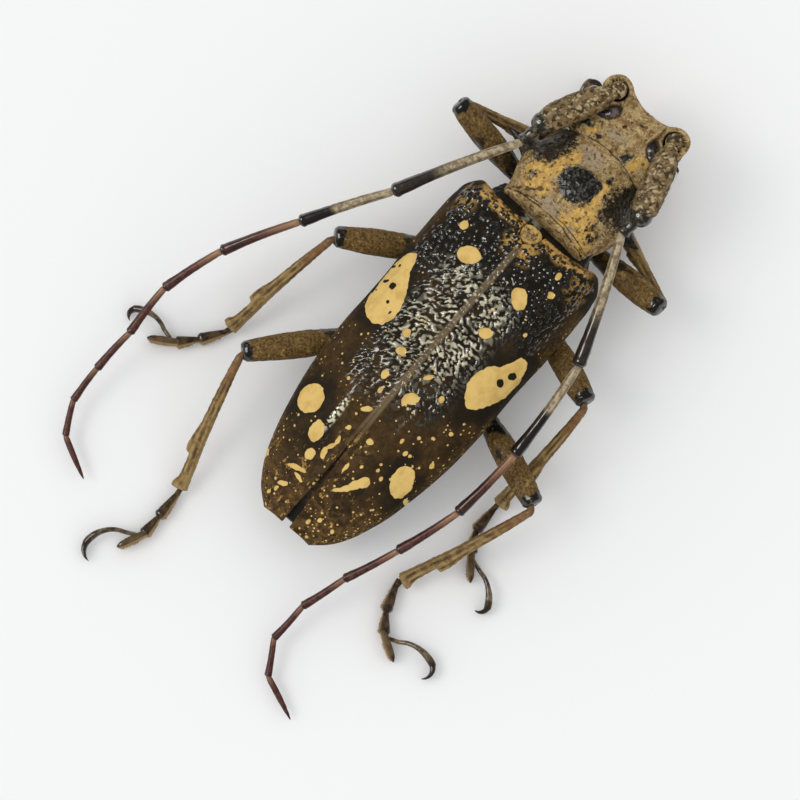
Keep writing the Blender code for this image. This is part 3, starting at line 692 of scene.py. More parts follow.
@dataclass(frozen=True)
class Finish:
    """A finish: the name of its material and how it is built in the material's nodes."""

    name: str
    sheen: ClassVar[float] = 0.15
    coat_roughness: ClassVar[float] = 0.16
    coat_ior: ClassVar[float] = 1.8

    def build(self, groups: dict) -> bpy.types.Material:
        """Make the material.

        Args:
            groups: The shared node groups by name.

        Returns:
            The material.
        """
        material = bpy.data.materials.new(self.name)
        material.use_nodes = True
        shader = material.node_tree.nodes["Principled BSDF"]
        nodes = Nodes(material.node_tree, groups)
        made = self.paint(nodes) | {"Base Color": nodes.base}
        for socket in ("Base Color", "Roughness", "Coat Weight"):
            if socket in made:
                material.node_tree.links.new(made[socket], shader.inputs[socket])
        shader.inputs["Specular IOR Level"].default_value = made.get("Sheen", self.sheen)
        shader.inputs["Coat Roughness"].default_value = self.coat_roughness
        shader.inputs["Coat IOR"].default_value = self.coat_ior
        bump = nodes.add("ShaderNodeBump", {"Height": made["Height"], "Strength": made.get("Strength", 0.5)})
        bump.inputs["Distance"].default_value = made.get("Distance", 0.03) * MM
        material.node_tree.links.new(bump.outputs[0], shader.inputs["Normal"])
        return material

    def paint(self, nodes: Nodes) -> dict:
        """Lay the colours and give gloss, height and settings by name.

        Args:
            nodes: The material's nodes, which keep the colour laid so far.

        Returns:
            Sockets for Roughness, Coat Weight and Height, and numbers for Strength, Distance and Sheen.
        """
        raise NotImplementedError


@dataclass(frozen=True)
class WingCaseFinish(Finish):
    """Dark brown velvet with cream marks, black grains and ridges, ochre shoulders, speckled edges, and white
    highlights painted on the ridges.
    """

    name: str = "wing_case_velvet"

    def paint(self, nodes: Nodes) -> dict:
        """Lay this finish, as Finish.paint says."""
        place = nodes.place()
        down = nodes.down(place, 16.0)
        tone = nodes.step(down.outputs["Tone"], 0.38, 0.66)
        patch = nodes.blotch(0.42, 0.64, place, 0.55, 4.0)
        nodes.base = nodes.mix(Palette.VELVET, Palette.BROWN, nodes.times(tone, 0.45))
        nodes.lay(Palette.BLACK, patch, 0.42)
        nodes.lay((92, 70, 40), "edge", tone, 0.6)
        fleck = nodes.blotch(0.54, 0.6, place, 3.6, 4.0, 0.7)
        nodes.lay((122, 96, 56), fleck, "edge", 0.9)
        mottle = nodes.blotch(0.46, 0.56, place, 1.5, 5.0, 0.7)
        rust = nodes.times(mottle, "tip", 0.75)
        nodes.lay((98, 74, 42), rust)
        nodes.lay((30, 26, 18), "halo", 0.85)
        worms = nodes.blotch(0.59, 0.62, nodes.place((2.4, 1.4, 1.0)), 1.0, 5.0, 0.7)
        gold = nodes.times(worms, "tip", 0.85)
        nodes.lay((178, 138, 74), gold)
        ground = nodes.mix((46, 37, 24), (25, 22, 15), nodes.blotch(0.36, 0.5, place, 1.3, 4.0, 0.7))
        nodes.lay(ground, "rough")
        ochre = nodes.times(nodes.blotch(0.44, 0.54, place, 1.6, 5.0, 0.75), "front")
        nodes.lay((194, 154, 88), ochre)
        nodes.lay(Palette.BLACK, nodes.step("crest", 0.12, 0.4))
        # Painted highlight: white glints laid as colour on the ridge crests and on the left case's glare streaks.
        nodes.lay((212, 206, 178), "glaze")
        nodes.lay(Palette.SUTURE, "suture")
        for spacing, radius in ((1.1, 0.19), (1.9, 0.24), (2.6, 0.27)):
            specks = nodes.specks(spacing, radius, "speckle", 0.06)
            nodes.lay((206, 176, 116), specks)
        cream = nodes.step("cream", -0.02, 0.02)
        warm = nodes.mix(Palette.CREAM, (200, 166, 96), nodes.blotch(0.4, 0.7, place, 1.1, 3.0))
        nodes.lay(warm, cream)
        gloss = nodes.sum(nodes.step("crest", 0.05, 0.3), "polish", "MAXIMUM")
        gloss = nodes.times(gloss, nodes.less(1.0, nodes.times("edge", 0.8)))
        matt = nodes.less(0.8, nodes.times(gloss, 0.45))
        pits = nodes.sum(down.outputs["Height"], nodes.times(cream, 0.35))
        return {"Roughness": matt, "Coat Weight": gloss, "Height": pits, "Strength": 0.35,
                "Distance": 0.05, "Sheen": 0.09}


@dataclass(frozen=True)
class ThoraxFinish(Finish):
    """Tan down with ochre bands, grey patches, black wrinkled patches with painted grey sheen, and dark pits."""

    name: str = "thorax_down"
    pit_radius: float = 0.38
    pit_spread: float = 2.3

    def paint(self, nodes: Nodes) -> dict:
        """Lay this finish, as Finish.paint says."""
        place = nodes.place()
        down = nodes.down(place, 13.0)
        tone = down.outputs["Tone"]
        nodes.base = nodes.mix(Palette.TAN, (126, 100, 62), nodes.step(tone, 0.42, 0.6))
        nodes.lay(Palette.PALE_TAN, nodes.blotch(0.52, 0.66, place, 2.2, 5.0, 0.75))
        grey = nodes.times(nodes.step("grey", -0.25, 0.35), 0.75)
        nodes.lay(Palette.GREY, grey)
        mottle = nodes.blotch(0.5, 0.62, place, 3.6, 6.0, 0.75)
        nodes.lay((112, 84, 52), mottle, 0.65)
        grit = nodes.blotch(0.5, 0.62, place, 7.5, 3.0, 0.7)
        nodes.lay((132, 98, 66), grit, 0.5)
        ragged = nodes.times(nodes.less(nodes.cloud(place, 3.2, 6.0, 0.8), 0.5), 1.3)
        warm = nodes.step(nodes.sum("ochre", ragged), -0.16, 0.06)
        gold = nodes.mix(Palette.OCHRE, (206, 172, 102), nodes.blotch(0.45, 0.62, place, 2.6, 4.0))
        nodes.lay(gold, warm)
        freckle = nodes.blotch(0.57, 0.64, place, 3.0, 4.0, 0.6)
        nodes.lay((76, 57, 36), freckle, 0.85)
        blotch = nodes.blotch(0.56, 0.62, place, 2.4, 6.0, 0.8)
        blotch = nodes.times(blotch, nodes.sum(0.6, "flank"))
        nodes.lay((66, 50, 30), blotch)
        pits = nodes.specks(self.pit_spread, self.pit_radius, 0.7, 0.14)
        nodes.lay((76, 56, 36), pits, 0.8)
        deep = nodes.less(nodes.cloud(place, 1.7, 6.0, 0.8), nodes.times("flank", 0.5))
        nodes.lay((42, 34, 21), nodes.step(deep, 0.17, 0.05), 0.95)
        dark = nodes.step(nodes.sum("black", ragged), -0.06, 0.06)
        # Painted sheen: grey blotches over the black marks stand for the wrinkles' sheen; on the flanks the same
        # blotches are brown mottles.
        sheen = nodes.blotch(0.46, 0.62, nodes.place((5.0, 3.4, 4.0)), 1.0, 4.0, 0.65)
        brown = nodes.mix((84, 84, 78), (74, 58, 34), "flank")
        black_with_painted_sheen_and_mottle = nodes.mix(Palette.BLACK, brown, nodes.times(sheen, 0.75))
        nodes.lay(black_with_painted_sheen_and_mottle, dark)
        nodes.lay((40, 30, 20), "line")
        matt = nodes.less(0.75, nodes.times(dark, 0.3))
        height = nodes.sum(down.outputs["Height"], nodes.times(pits, -0.8))
        return {"Roughness": matt, "Coat Weight": nodes.times(dark, 0.3),
                "Height": height, "Strength": 0.6, "Distance": 0.05, "Sheen": 0.09}


@dataclass(frozen=True)
class BellyFinish(Finish):
    """Grey-brown down over dark shell, darker in the joints between plates."""

    name: str = "belly_down"

    def paint(self, nodes: Nodes) -> dict:
        """Lay this finish, as Finish.paint says."""
        place = nodes.place()
        down = nodes.down(place, 12.0)
        nodes.base = nodes.mix((96, 82, 62), (60, 48, 38), nodes.step(down.outputs["Tone"], 0.4, 0.62))
        bare = nodes.specks(1.6, 0.3, 0.5, 0.12)
        nodes.lay(Palette.BLACK, bare)
        ash = nodes.blotch(0.46, 0.56, place, 0.9, 5.0, 0.7)
        shell = nodes.mix(Palette.BLUE_BLACK, (146, 144, 124), nodes.times(ash, "crown"))
        nodes.lay(shell, "bare")
        matt = nodes.less(0.62, nodes.times("bare", 0.3))
        return {"Roughness": matt, "Height": down.outputs["Height"], "Strength": 0.5,
                "Coat Weight": nodes.times("bare", 0.5)}


@dataclass(frozen=True)
class EyeFinish(Finish):
    """A dark eye of fine facets."""

    name: str = "eye_facets"

    def paint(self, nodes: Nodes) -> dict:
        """Lay this finish, as Finish.paint says."""
        place = nodes.place(16.0)
        facet = nodes.add("ShaderNodeTexVoronoi", {"Vector": place, "Scale": 1.0, "Randomness": 0.3})
        nodes.base = nodes.mix((34, 28, 27), (106, 94, 90), nodes.blotch(0.46, 0.62, place, 0.08))
        dome = nodes.less(1.0, facet.outputs["Distance"])
        rough = nodes.sum(nodes.times(facet.outputs["Distance"], 0.2), 0.16)
        return {"Roughness": rough, "Height": dome, "Strength": 0.4, "Distance": 0.02,
                "Coat Weight": nodes.sum(facet.outputs["Distance"], 0.2)}


@dataclass(frozen=True)
class HornFinish(Finish):
    """Smooth dark horn of jaws, with a little brown where it is thin."""

    name: str = "black_horn"

    def paint(self, nodes: Nodes) -> dict:
        """Lay this finish, as Finish.paint says."""
        place = nodes.place()
        cloudy = nodes.cloud(place, 1.2, 4.0)
        nodes.base = nodes.mix(Palette.BLACK, Palette.DARK_RED, nodes.step(cloudy, 0.45, 0.7))
        rough = nodes.sum(nodes.times(cloudy, 0.2), 0.15)
        fine = nodes.cloud(place, 9.0)
        return {"Roughness": rough, "Height": fine, "Strength": 0.2, "Distance": 0.02}


@dataclass(frozen=True)
class ScapeFinish(Finish):
    """The rough first feeler joint: tan crests over brown, kept mostly to the top as painted highlights, painted
    shade on the underside, and black bare balls.
    """

    name: str = "scape_rough"

    def paint(self, nodes: Nodes) -> dict:
        """Lay this finish, as Finish.paint says."""
        place = nodes.place()
        down = nodes.down(place, 14.0)
        nodes.base = nodes.mix((128, 106, 72), (60, 46, 26), nodes.step(down.outputs["Tone"], 0.42, 0.6))
        # On the scape the groove value is painted shade on the underside; on the root ball it darkens the hollows
        # between lumps.
        nodes.lay((52, 41, 22), "groove", 0.8)
        # Painted highlight: the pale crests are laid mostly along the top, through the top value.
        crest = nodes.step("crest", 0.5, 0.85)
        nodes.lay((182, 166, 130), crest, "top", 0.85)
        black = "bare"
        stone = nodes.mix((34, 33, 26), (104, 98, 80), nodes.blotch(0.5, 0.62, place, 2.4, 5.0, 0.7))
        nodes.lay(stone, black)
        rough = nodes.less(0.6, nodes.times(black, 0.28))
        return {"Roughness": rough, "Coat Weight": nodes.times(black, 0.7),
                "Height": down.outputs["Height"], "Strength": 0.5}


@dataclass(frozen=True)
class FeelerFinish(Finish):
    """Feeler joints: tan-grey near the head, red-brown further out, black shiny swellings, pale roots."""

    name: str = "feeler_joints"

    def paint(self, nodes: Nodes) -> dict:
        """Lay this finish, as Finish.paint says."""
        place = nodes.place()
        down = nodes.down(place, 18.0)
        streak = nodes.step(down.outputs["Tone"], 0.4, 0.6)
        tan = nodes.mix((118, 103, 80), (176, 161, 132), streak)
        red = nodes.mix(Palette.RED_BROWN, (64, 34, 30), streak)
        nodes.base = nodes.mix(tan, red, "red")
        root = nodes.mix((178, 164, 136), Palette.PALE_RED, "red")
        nodes.lay(root, "pale")
        nodes.lay((44, 30, 26), "groove", 0.6)
        black = "dark"
        nodes.lay((28, 19, 18), black)
        rough = nodes.less(0.5, nodes.times(black, 0.2))
        return {"Roughness": rough, "Coat Weight": nodes.sum(nodes.times(black, 0.7), 0.1),
                "Height": down.outputs["Height"], "Strength": 0.3}


@dataclass(frozen=True)
class LegFinish(Finish):
    """Olive-brown legs, finely mottled, with black shiny knees that carry painted highlights, and pale ridges on the
    shins.
    """

    name: str = "leg_mottled"

    def paint(self, nodes: Nodes) -> dict:
        """Lay this finish, as Finish.paint says."""
        place = nodes.place()
        down = nodes.down(place, 12.0)
        fine = nodes.blotch(0.42, 0.6, place, 5.5, 4.0, 0.7)
        nodes.base = nodes.mix((118, 92, 50), (76, 57, 29), fine)
        nodes.lay((156, 128, 76), nodes.step(down.outputs["Tone"], 0.54, 0.68))
        dots = nodes.specks(2.6, 0.3, 0.5, 0.14)
        nodes.lay((48, 36, 20), dots, 0.6)
        shin = nodes.mix((148, 122, 76), (104, 80, 48), nodes.step(down.outputs["Tone"], 0.42, 0.6))
        shin = nodes.mix(shin, (120, 78, 54), "ruddy")
        shin = nodes.mix(shin, (60, 44, 26), nodes.times("groove", 0.8))
        nodes.lay(shin, "shin")
        nodes.lay((176, 152, 106), "ridge")
        black = "bare"
        # Painted highlight: grey-brown blotches over the knees' black stand for mottled highlights.
        knee = nodes.mix(Palette.BLACK, (84, 76, 60), nodes.blotch(0.54, 0.66, place, 3.0, 4.0, 0.7))
        nodes.lay(knee, black)
        rough = nodes.less(0.65, nodes.times(black, 0.4))
        height = nodes.sum(down.outputs["Height"], nodes.times(dots, -0.4))
        return {"Roughness": rough, "Coat Weight": nodes.times(black, 0.6),
                "Height": height, "Strength": 0.6}


@dataclass(frozen=True)
class FootFinish(Finish):
    """Dark foot pads and claws with tan soles and olive claw joints."""

    name: str = "foot_dark"

    def paint(self, nodes: Nodes) -> dict:
        """Lay this finish, as Finish.paint says."""
        place = nodes.place()
        down = nodes.down(place, 14.0)
        nodes.base = nodes.mix((84, 66, 44), (44, 34, 24), nodes.step(down.outputs["Tone"], 0.42, 0.58))
        stalk = nodes.mix((116, 101, 76), (54, 44, 32), nodes.step(down.outputs["Tone"], 0.4, 0.6))
        nodes.lay(stalk, "olive")
        nodes.lay((150, 124, 84), "sole")
        black = "bare"
        nodes.lay((48, 35, 30), black)
        rough = nodes.less(0.5, nodes.times(black, 0.24))
        gloss = nodes.times(nodes.sum(black, "olive", "MAXIMUM"), 0.5)
        return {"Roughness": rough, "Coat Weight": gloss,
                "Height": down.outputs["Height"], "Strength": 0.35}


@dataclass(frozen=True)
class HairFinish(Finish):
    """Short stiff tan hairs."""

    name: str = "tan_hair"

    def paint(self, nodes: Nodes) -> dict:
        """Lay this finish, as Finish.paint says."""
        place = nodes.place()
        tone = nodes.cloud(place, 1.4, 3.0)
        nodes.base = nodes.mix((196, 164, 106), (146, 112, 66), nodes.step(tone, 0.4, 0.62))
        rough = nodes.sum(nodes.times(tone, 0.2), 0.45)
        return {"Roughness": rough, "Height": nodes.cloud(place, 8.0), "Strength": 0.1}


def make_finishes() -> dict[str, bpy.types.Material]:
    """Make every material once.

    Returns:
        The materials by short name.
    """
    groups = {"specks": specks_group(), "down": down_group()}
    finishes = {
        "wing_case": WingCaseFinish(),
        "thorax": ThoraxFinish(),
        "head": ThoraxFinish("head_down", 0.4, 1.9),
        "belly": BellyFinish(),
        "eye": EyeFinish(),
        "horn": HornFinish(),
        "scape": ScapeFinish(),
        "feeler": FeelerFinish(),
        "leg": LegFinish(),
        "foot": FootFinish(),
        "hair": HairFinish(),
    }
    return {key: finish.build(groups) for key, finish in finishes.items()}


@dataclass
class Assembly:
    """A group of pieces that are dressed and settled in the same way."""

    finishes: dict

    def settle(self, skin: Skin, name: str, finish: str, slot: str, nodes: tuple = ()) -> bpy.types.Object:
        """Build a piece, let it ride on the beetle and stand for its solids.

        Args:
            skin: The drawn piece.
            name: The piece's name.
            finish: The short name of its material.
            slot: The material slot; not used.
            nodes: The solids that it stands for.

        Returns:
            The piece.
        """
        piece = skin.build(name, self.finishes[finish])
        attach(piece, "root")
        if nodes:
            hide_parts(*nodes)
        LOG.info("%s: %d faces", name, len(piece.data.polygons))
        return piece


@dataclass
class WingCases(Assembly):
    """The two wing cases, from the seam over the shoulder to the tucked side edge."""

    stations: tuple = (
        (-7.5, 5.35, 6.1, 7.95), (-7.1, 5.95, 5.8, 8.5), (-6.3, 6.25, 5.45, 8.95), (-4.5, 6.4, 5.2, 9.35),
        (-2.0, 6.42, 5.05, 9.55), (2.0, 6.28, 4.95, 9.6), (6.5, 6.3, 4.8, 9.35), (9.7, 6.08, 4.6, 8.85),
        (12.5, 5.6, 4.35, 8.1), (15.5, 4.82, 4.05, 6.95), (17.5, 3.95, 3.85, 6.0), (18.7, 3.1, 3.72, 5.3),
        (19.6, 2.05, 3.65, 4.8),
    )
    seam: tuple = ((-7.5, 0.88), (-6.9, 0.86), (-6.5, 0.66), (-6.2, 0.36), (-6.0, 0.03), (8.0, 0.03), (13.0, 0.12),
            (19.6, 0.42))
    thickness: float = 0.5
    fullness: float = 2.35
    tuck: float = 0.25
    rows: int = 430
    outer_columns: int = 128
    inner_columns: int = 14
    grain_spacing: float = 0.37
    grain_height: float = 0.14
    ridge_height: float = 0.13
    ridge_size: tuple = (0.31, 0.18, 0.31)
    left_patch: tuple = (
        (5.3, -0.75), (4.95, -0.3), (4.75, 0.6), (4.2, 1.5), (3.75, 2.3), (3.45, 3.2), (3.4, 4.0), (3.75, 4.8),
        (4.4, 5.15), (5.1, 4.95), (5.75, 4.3), (6.05, 3.5), (5.95, 2.9), (6.15, 2.3), (6.2, 1.2), (6.1, 0.2),
        (5.8, -0.5),
    )
    right_patch: tuple = (
        (-3.97, 4.96), (-3.46, 4.05), (-3.47, 3.03), (-3.9, 2.07), (-4.56, 1.54), (-4.89, 0.83), (-5.13, 0.13),
        (-5.65, -0.05), (-5.95, 0.45), (-6.08, 1.3), (-6.05, 2.7), (-5.6, 4.1), (-5.1, 5.0), (-4.61, 5.37),
    )
    left_spots: tuple = (
        Spot(4.02, -4.37, 0.36, 0.32), Spot(2.3, -2.89, 0.86, 0.68, 15.0), Spot(1.99, 4.15, 0.34, 0.28),
        Spot(1.48, 5.39, 0.37, 0.28, 20.0), Spot(1.28, 7.33, 0.36, 0.24), Spot(0.82, 8.4, 0.22, 0.18),
        Spot(0.69, 10.0, 0.36, 0.2, 40.0), Spot(0.83, 11.73, 0.2, 0.18), Spot(4.29, 11.84, 1.1, 0.92, 100.0),
        Spot(2.44, 13.37, 0.78, 0.52, 105.0), Spot(1.77, 14.87, 0.42, 0.36), Spot(1.95, 16.2, 0.65, 0.16, 15.0),
        Spot(1.35, 16.6, 0.42, 0.15, -15.0), Spot(1.98, 17.59, 0.36, 0.17, 30.0),
        Spot(4.42, 16.62, 0.34, 0.16, 110.0),
        Spot(2.44, 18.62, 0.15, 0.12), Spot(2.16, 18.16, 0.17, 0.12), Spot(5.93, 12.58, 0.2, 0.14),
        Spot(5.54, 14.12, 0.22, 0.14), Spot(1.05, 14.2, 0.4, 0.2, 115.0), Spot(0.85, 12.9, 0.3, 0.13, 100.0),
        Spot(0.95, 13.5, 0.3, 0.16, 60.0),
    )
    right_spots: tuple = (
        Spot(-3.89, -4.54, 0.26, 0.22), Spot(-2.39, -2.8, 0.82, 0.6, 130.0), Spot(-2.21, 0.55, 0.52, 0.36, 30.0),
        Spot(-3.4, -5.9, 0.3, 0.2), Spot(-4.32, -1.22, 0.19, 0.15), Spot(-1.24, 7.48, 0.56, 0.42, 40.0),
        Spot(-1.0, 7.9, 0.3, 0.25), Spot(-2.87, 6.15, 0.28, 0.2), Spot(-1.19, 5.6, 0.34, 0.18, 60.0),
        Spot(-0.98, 11.57, 0.26, 0.24), Spot(-1.35, 15.5, 0.5, 0.17, 45.0), Spot(-1.75, 15.05, 0.55, 0.24, 52.0),
        Spot(-2.1, 14.5, 0.5, 0.3, 58.0), Spot(-2.45, 13.95, 0.46, 0.36, 60.0), Spot(-4.43, 12.15, 1.18, 0.78, 97.0),
        Spot(-3.2, 13.0, 0.14, 0.12),
        Spot(-1.71, 17.86, 0.2, 0.16), Spot(-1.14, 18.51, 0.18, 0.14), Spot(-2.87, 17.93, 0.16, 0.12),
        Spot(-5.45, 12.9, 0.2, 0.15), Spot(-5.3, 9.9, 0.2, 0.14), Spot(-0.8, 14.0, 0.4, 0.1, 90.0),
        Spot(-3.4, 9.14, 0.17, 0.12), Spot(-4.16, 8.5, 0.12, 0.1), Spot(-4.91, 7.39, 0.12, 0.1),
        Spot(-2.65, 10.08, 0.17, 0.13), Spot(-3.36, 10.58, 0.16, 0.12), Spot(-3.74, 10.49, 0.12, 0.1),
        Spot(-2.66, 12.66, 0.13, 0.11), Spot(-1.63, 13.23, 0.13, 0.1), Spot(-3.71, 12.59, 0.11, 0.1),
    )
    left_holes: tuple = (
        Spot(5.03, 2.12, 0.26, 0.23), Spot(5.75, 2.06, 0.22, 0.15, 30.0), Spot(4.52, 3.25, 0.15, 0.13),
        Spot(3.9, 3.8, 0.14, 0.1), Spot(5.7, 0.6, 0.1, 0.09), Spot(6.15, 2.94, 0.25, 0.15, 0.0),
        Spot(6.1, 0.85, 0.2, 0.12, 0.0),
    )
    right_holes: tuple = (Spot(-5.5, 1.46, 0.32, 0.24, 60.0), Spot(-5.2, 2.42, 0.28, 0.26))

    def ring(self, half_width: float, edge: float, crown: float, seam: float) -> Array:
        """Draw one cross-section: the outer arc, the tucked edge and the inner arc back to the seam.

        Args:
            half_width: From the midline to the side edge.
            edge: The side edge's height.
            crown: The height at the seam.
            seam: From the midline to the seam.

        Returns:
            The points' X and Z, and how far along the outer arc each lies from the seam.
        """
        angles = np.linspace(0, math.pi / 2, 241)
        across, upward = power_arc(angles, self.fullness)
        found = []
        for depth, count in ((0.0, self.outer_columns), (self.thickness, self.inner_columns)):
            x = (half_width - depth) * across
            z = edge + (crown - depth - edge) * upward
            length = np.concatenate(([0.0], np.cumsum(np.hypot(np.diff(x), np.diff(z)))))
            start = float(np.interp(seam, x, length))
            wanted = np.linspace(start, length[-1], count)
            found.append(np.stack((np.interp(wanted, length, x), np.interp(wanted, length, z), wanted - start), 1))
        tuck = np.array([(half_width - self.tuck, edge - self.tuck, found[0][-1, 2] + self.tuck)])
        return np.concatenate((found[0], tuck, found[1][::-1]))

    def draw(self, side: Side) -> Skin:
        """Draw one wing case with its grains, ridges, seam bead and marks.

        Args:
            side: Which wing case.

        Returns:
            The skin.
        """
        y = np.linspace(self.stations[0][0], self.stations[-1][0], self.rows)
        sections = curve_through(self.stations, y)
        seams = np.interp(y, *zip(*self.seam))
        rows = np.array([self.ring(*section, seam) for section, seam in zip(sections, seams)])
        rings = np.stack((side.value * rows[..., 0], np.broadcast_to(y[:, None], rows.shape[:2]), rows[..., 1]), -1)
        reach = rows[..., 2]
        outer = np.zeros(rings.shape[1])
        outer[:self.outer_columns] = 1.0
        x = np.abs(rings[..., 0])
        along = rings[..., 1]
        whole = reach[:, self.outer_columns - 1:self.outer_columns]
        values = self.marks(side, rings)
        grain_zone = soft(along, 1.5, -2.0) * soft(x, 6.1, 4.9) * soft(along, -7.35, -6.6)
        ridge_zone = soft(along, -3.6, -1.2) * soft(along, 10.8, 5.5) * soft(x, 4.4, 2.8)
        clear = soft(values["cream"], 0.06, -0.04)
        near, _ = grains(rings, self.grain_spacing, 1)
        lumps = domes(near, 0.5)
        skew = np.stack((0.76 * x + 0.65 * along, 0.76 * along - 0.65 * x, rings[..., 2]), -1)
        skew[..., 1] += 0.35 * cloud(rings, 1.1, 5)
        worm = soft(cloud(skew, self.ridge_size, 2), -0.06, 0.2)
        ridge_share = ridge_zone * (0.5 + 0.5 * soft(cloud(rings, 1.4, 7), -0.3, 0.1))
        relief = self.grain_height * lumps * grain_zone + self.ridge_height * worm * ridge_share
        bead = 0.1 * np.exp(-(reach / 0.2) ** 2) * soft(along, -5.9, -4.5)
        rim = 0.07 * hump(whole, reach, 0.22)
        shoulder = 0.3 * np.exp(-((x - 4.9) ** 2 + (along + 6.4) ** 2) / 0.9)
        costa = 0.12 * hump(x, 2.25, 0.35) * soft(along, 6.5, 8.5) * soft(along, 13.5, 12.0)
        swell = 0.03 * cloud(rings, 2.2, 8)
        push = (relief * clear + bead + rim + shoulder + costa + swell) * outer
        rings[..., 1] -= 0.45 * hump(x, 5.2, 0.9) * soft(along, -5.5, -7.5)
        rings = pushed(rings, push)
        values["crest"] = np.maximum(lumps * grain_zone, 0.8 * worm * ridge_share) * clear * outer
        # Painted highlight: the ridge crests are painted white mostly near the seam in the front half, and the left
        # case's glare streaks are painted white too.
        painted_glint_zone = soft(x, 4.0, 1.8) * soft(along, -3.6, -1.4) * (1 - 0.8 * soft(along, 3.0, 7.5))
        patchy = 0.2 + 0.8 * soft(cloud(rings, 0.5, 10), -0.3, 0.05)
        values["glaze"] = soft(worm, 0.3, 0.62) * ridge_share * painted_glint_zone * patchy * clear
        values["glaze"] = np.maximum(values["glaze"], 1.1 * values["polish"] * soft(along, 9.9, 10.4))
        values["rough"] = np.maximum(grain_zone * 0.95, ridge_share * 0.85)
        values["suture"] = 0.9 * soft(reach, 0.27, 0.15) * soft(along, -6.0, -5.0) * soft(along, 13.5, 9.0)
        values["edge"] = soft(whole - reach, 2.6, 0.6) * (0.6 + 0.4 * soft(along, -6.5, -3.0))
        band = soft(along, -6.3, -6.9) * soft(x, 5.3, 4.5)
        flank = 0.6 * soft(along, -4.6, -5.8) * soft(x, 3.9, 4.8) * soft(x, 6.0, 5.3) * soft(along, -7.3, -6.7)
        heart = 0.8 * soft(along, -4.2, -5.4) * soft(x, 1.7, 0.8)
        values["halo"] = np.maximum(values["halo"], soft(np.hypot(x - 5.9, along + 6.3), 1.7, 0.6))
        values["front"] = np.maximum(np.maximum(band, flank), heart)
        return ring_skin(rings, values)

    def marks(self, side: Side, rings: Array) -> dict:
        """Work out the cream marks, how the ground round them is tinted, and the glossy streaks that are also
        painted as glare.

        Args:
            side: Which wing case.
            rings: The wing case's points.

        Returns:
            Point values by name.
        """
        x, y = rings[..., 0], rings[..., 1]
        left = side is Side.LEFT
        patch = outline_depth(self.left_patch if left else self.right_patch, x, y)
        spots = deepest(self.left_spots if left else self.right_spots, x, y)
        holes = deepest(self.left_holes if left else self.right_holes, x, y)
        ragged = 0.07 * cloud(rings, 0.3, 3) + 0.05 * cloud(rings, 0.9, 4)
        cream = np.maximum(patch, spots)
        cream = np.minimum(cream, -holes) + ragged
        large = [spot for spot in (self.left_spots if left else self.right_spots) if spot.half_width > 0.5]
        around = np.maximum(patch, deepest(tuple(large), x, y) - 0.35)
        wobble = 0.8 * cloud(rings, 1.3, 6)
        band = soft(y, 12.5, 14.5) * soft(y, 17.5, 16.0) * soft(np.abs(x), 4.2, 3.0) * 0.5
        halo = np.maximum(soft(around + wobble, -1.5, -0.3), band)
        out = np.abs(x)
        speckle = 0.16 + 0.5 * soft(y, 11.0, 17.0) + 0.5 * soft(out, 3.0, 4.8) * soft(y, 2.0, 6.0)
        speckle = speckle + 0.25 * soft(out, 4.8, 2.0) * soft(y, 3.5, 6.0) * soft(y, 12.0, 9.0)
        speckle = speckle * (1 - 0.9 * halo) * soft(y, -6.0, -3.0)
        tip = soft(y, 13.0, 17.5) * (1 - 0.4 * soft(out, 2.5, 4.5)) + 0.9 * soft(out, 2.0, 0.4) * soft(y, 10.5, 12.5)
        # Glossy streaks on the left case: their gloss is real, and the same mask is painted white as glare.
        glare_streaks = deepest((Spot(2.1, 11.5, 1.15, 0.2, 91.0), Spot(2.5, 8.7, 1.2, 0.28, 98.0)), out, y)
        polish = soft(glare_streaks, -0.15, 0.08) * soft(cloud(rings, 0.2, 9), -0.12, 0.06) * left
        return {"cream": cream, "halo": halo, "speckle": speckle, "tip": held(tip), "polish": polish}

    def make(self) -> None:
        """Build both wing cases."""
        for side in Side:
            self.settle(self.draw(side), "wing_case_" + side.word, "wing_case", "wing_case",
                    ("elytron_" + side.word,))


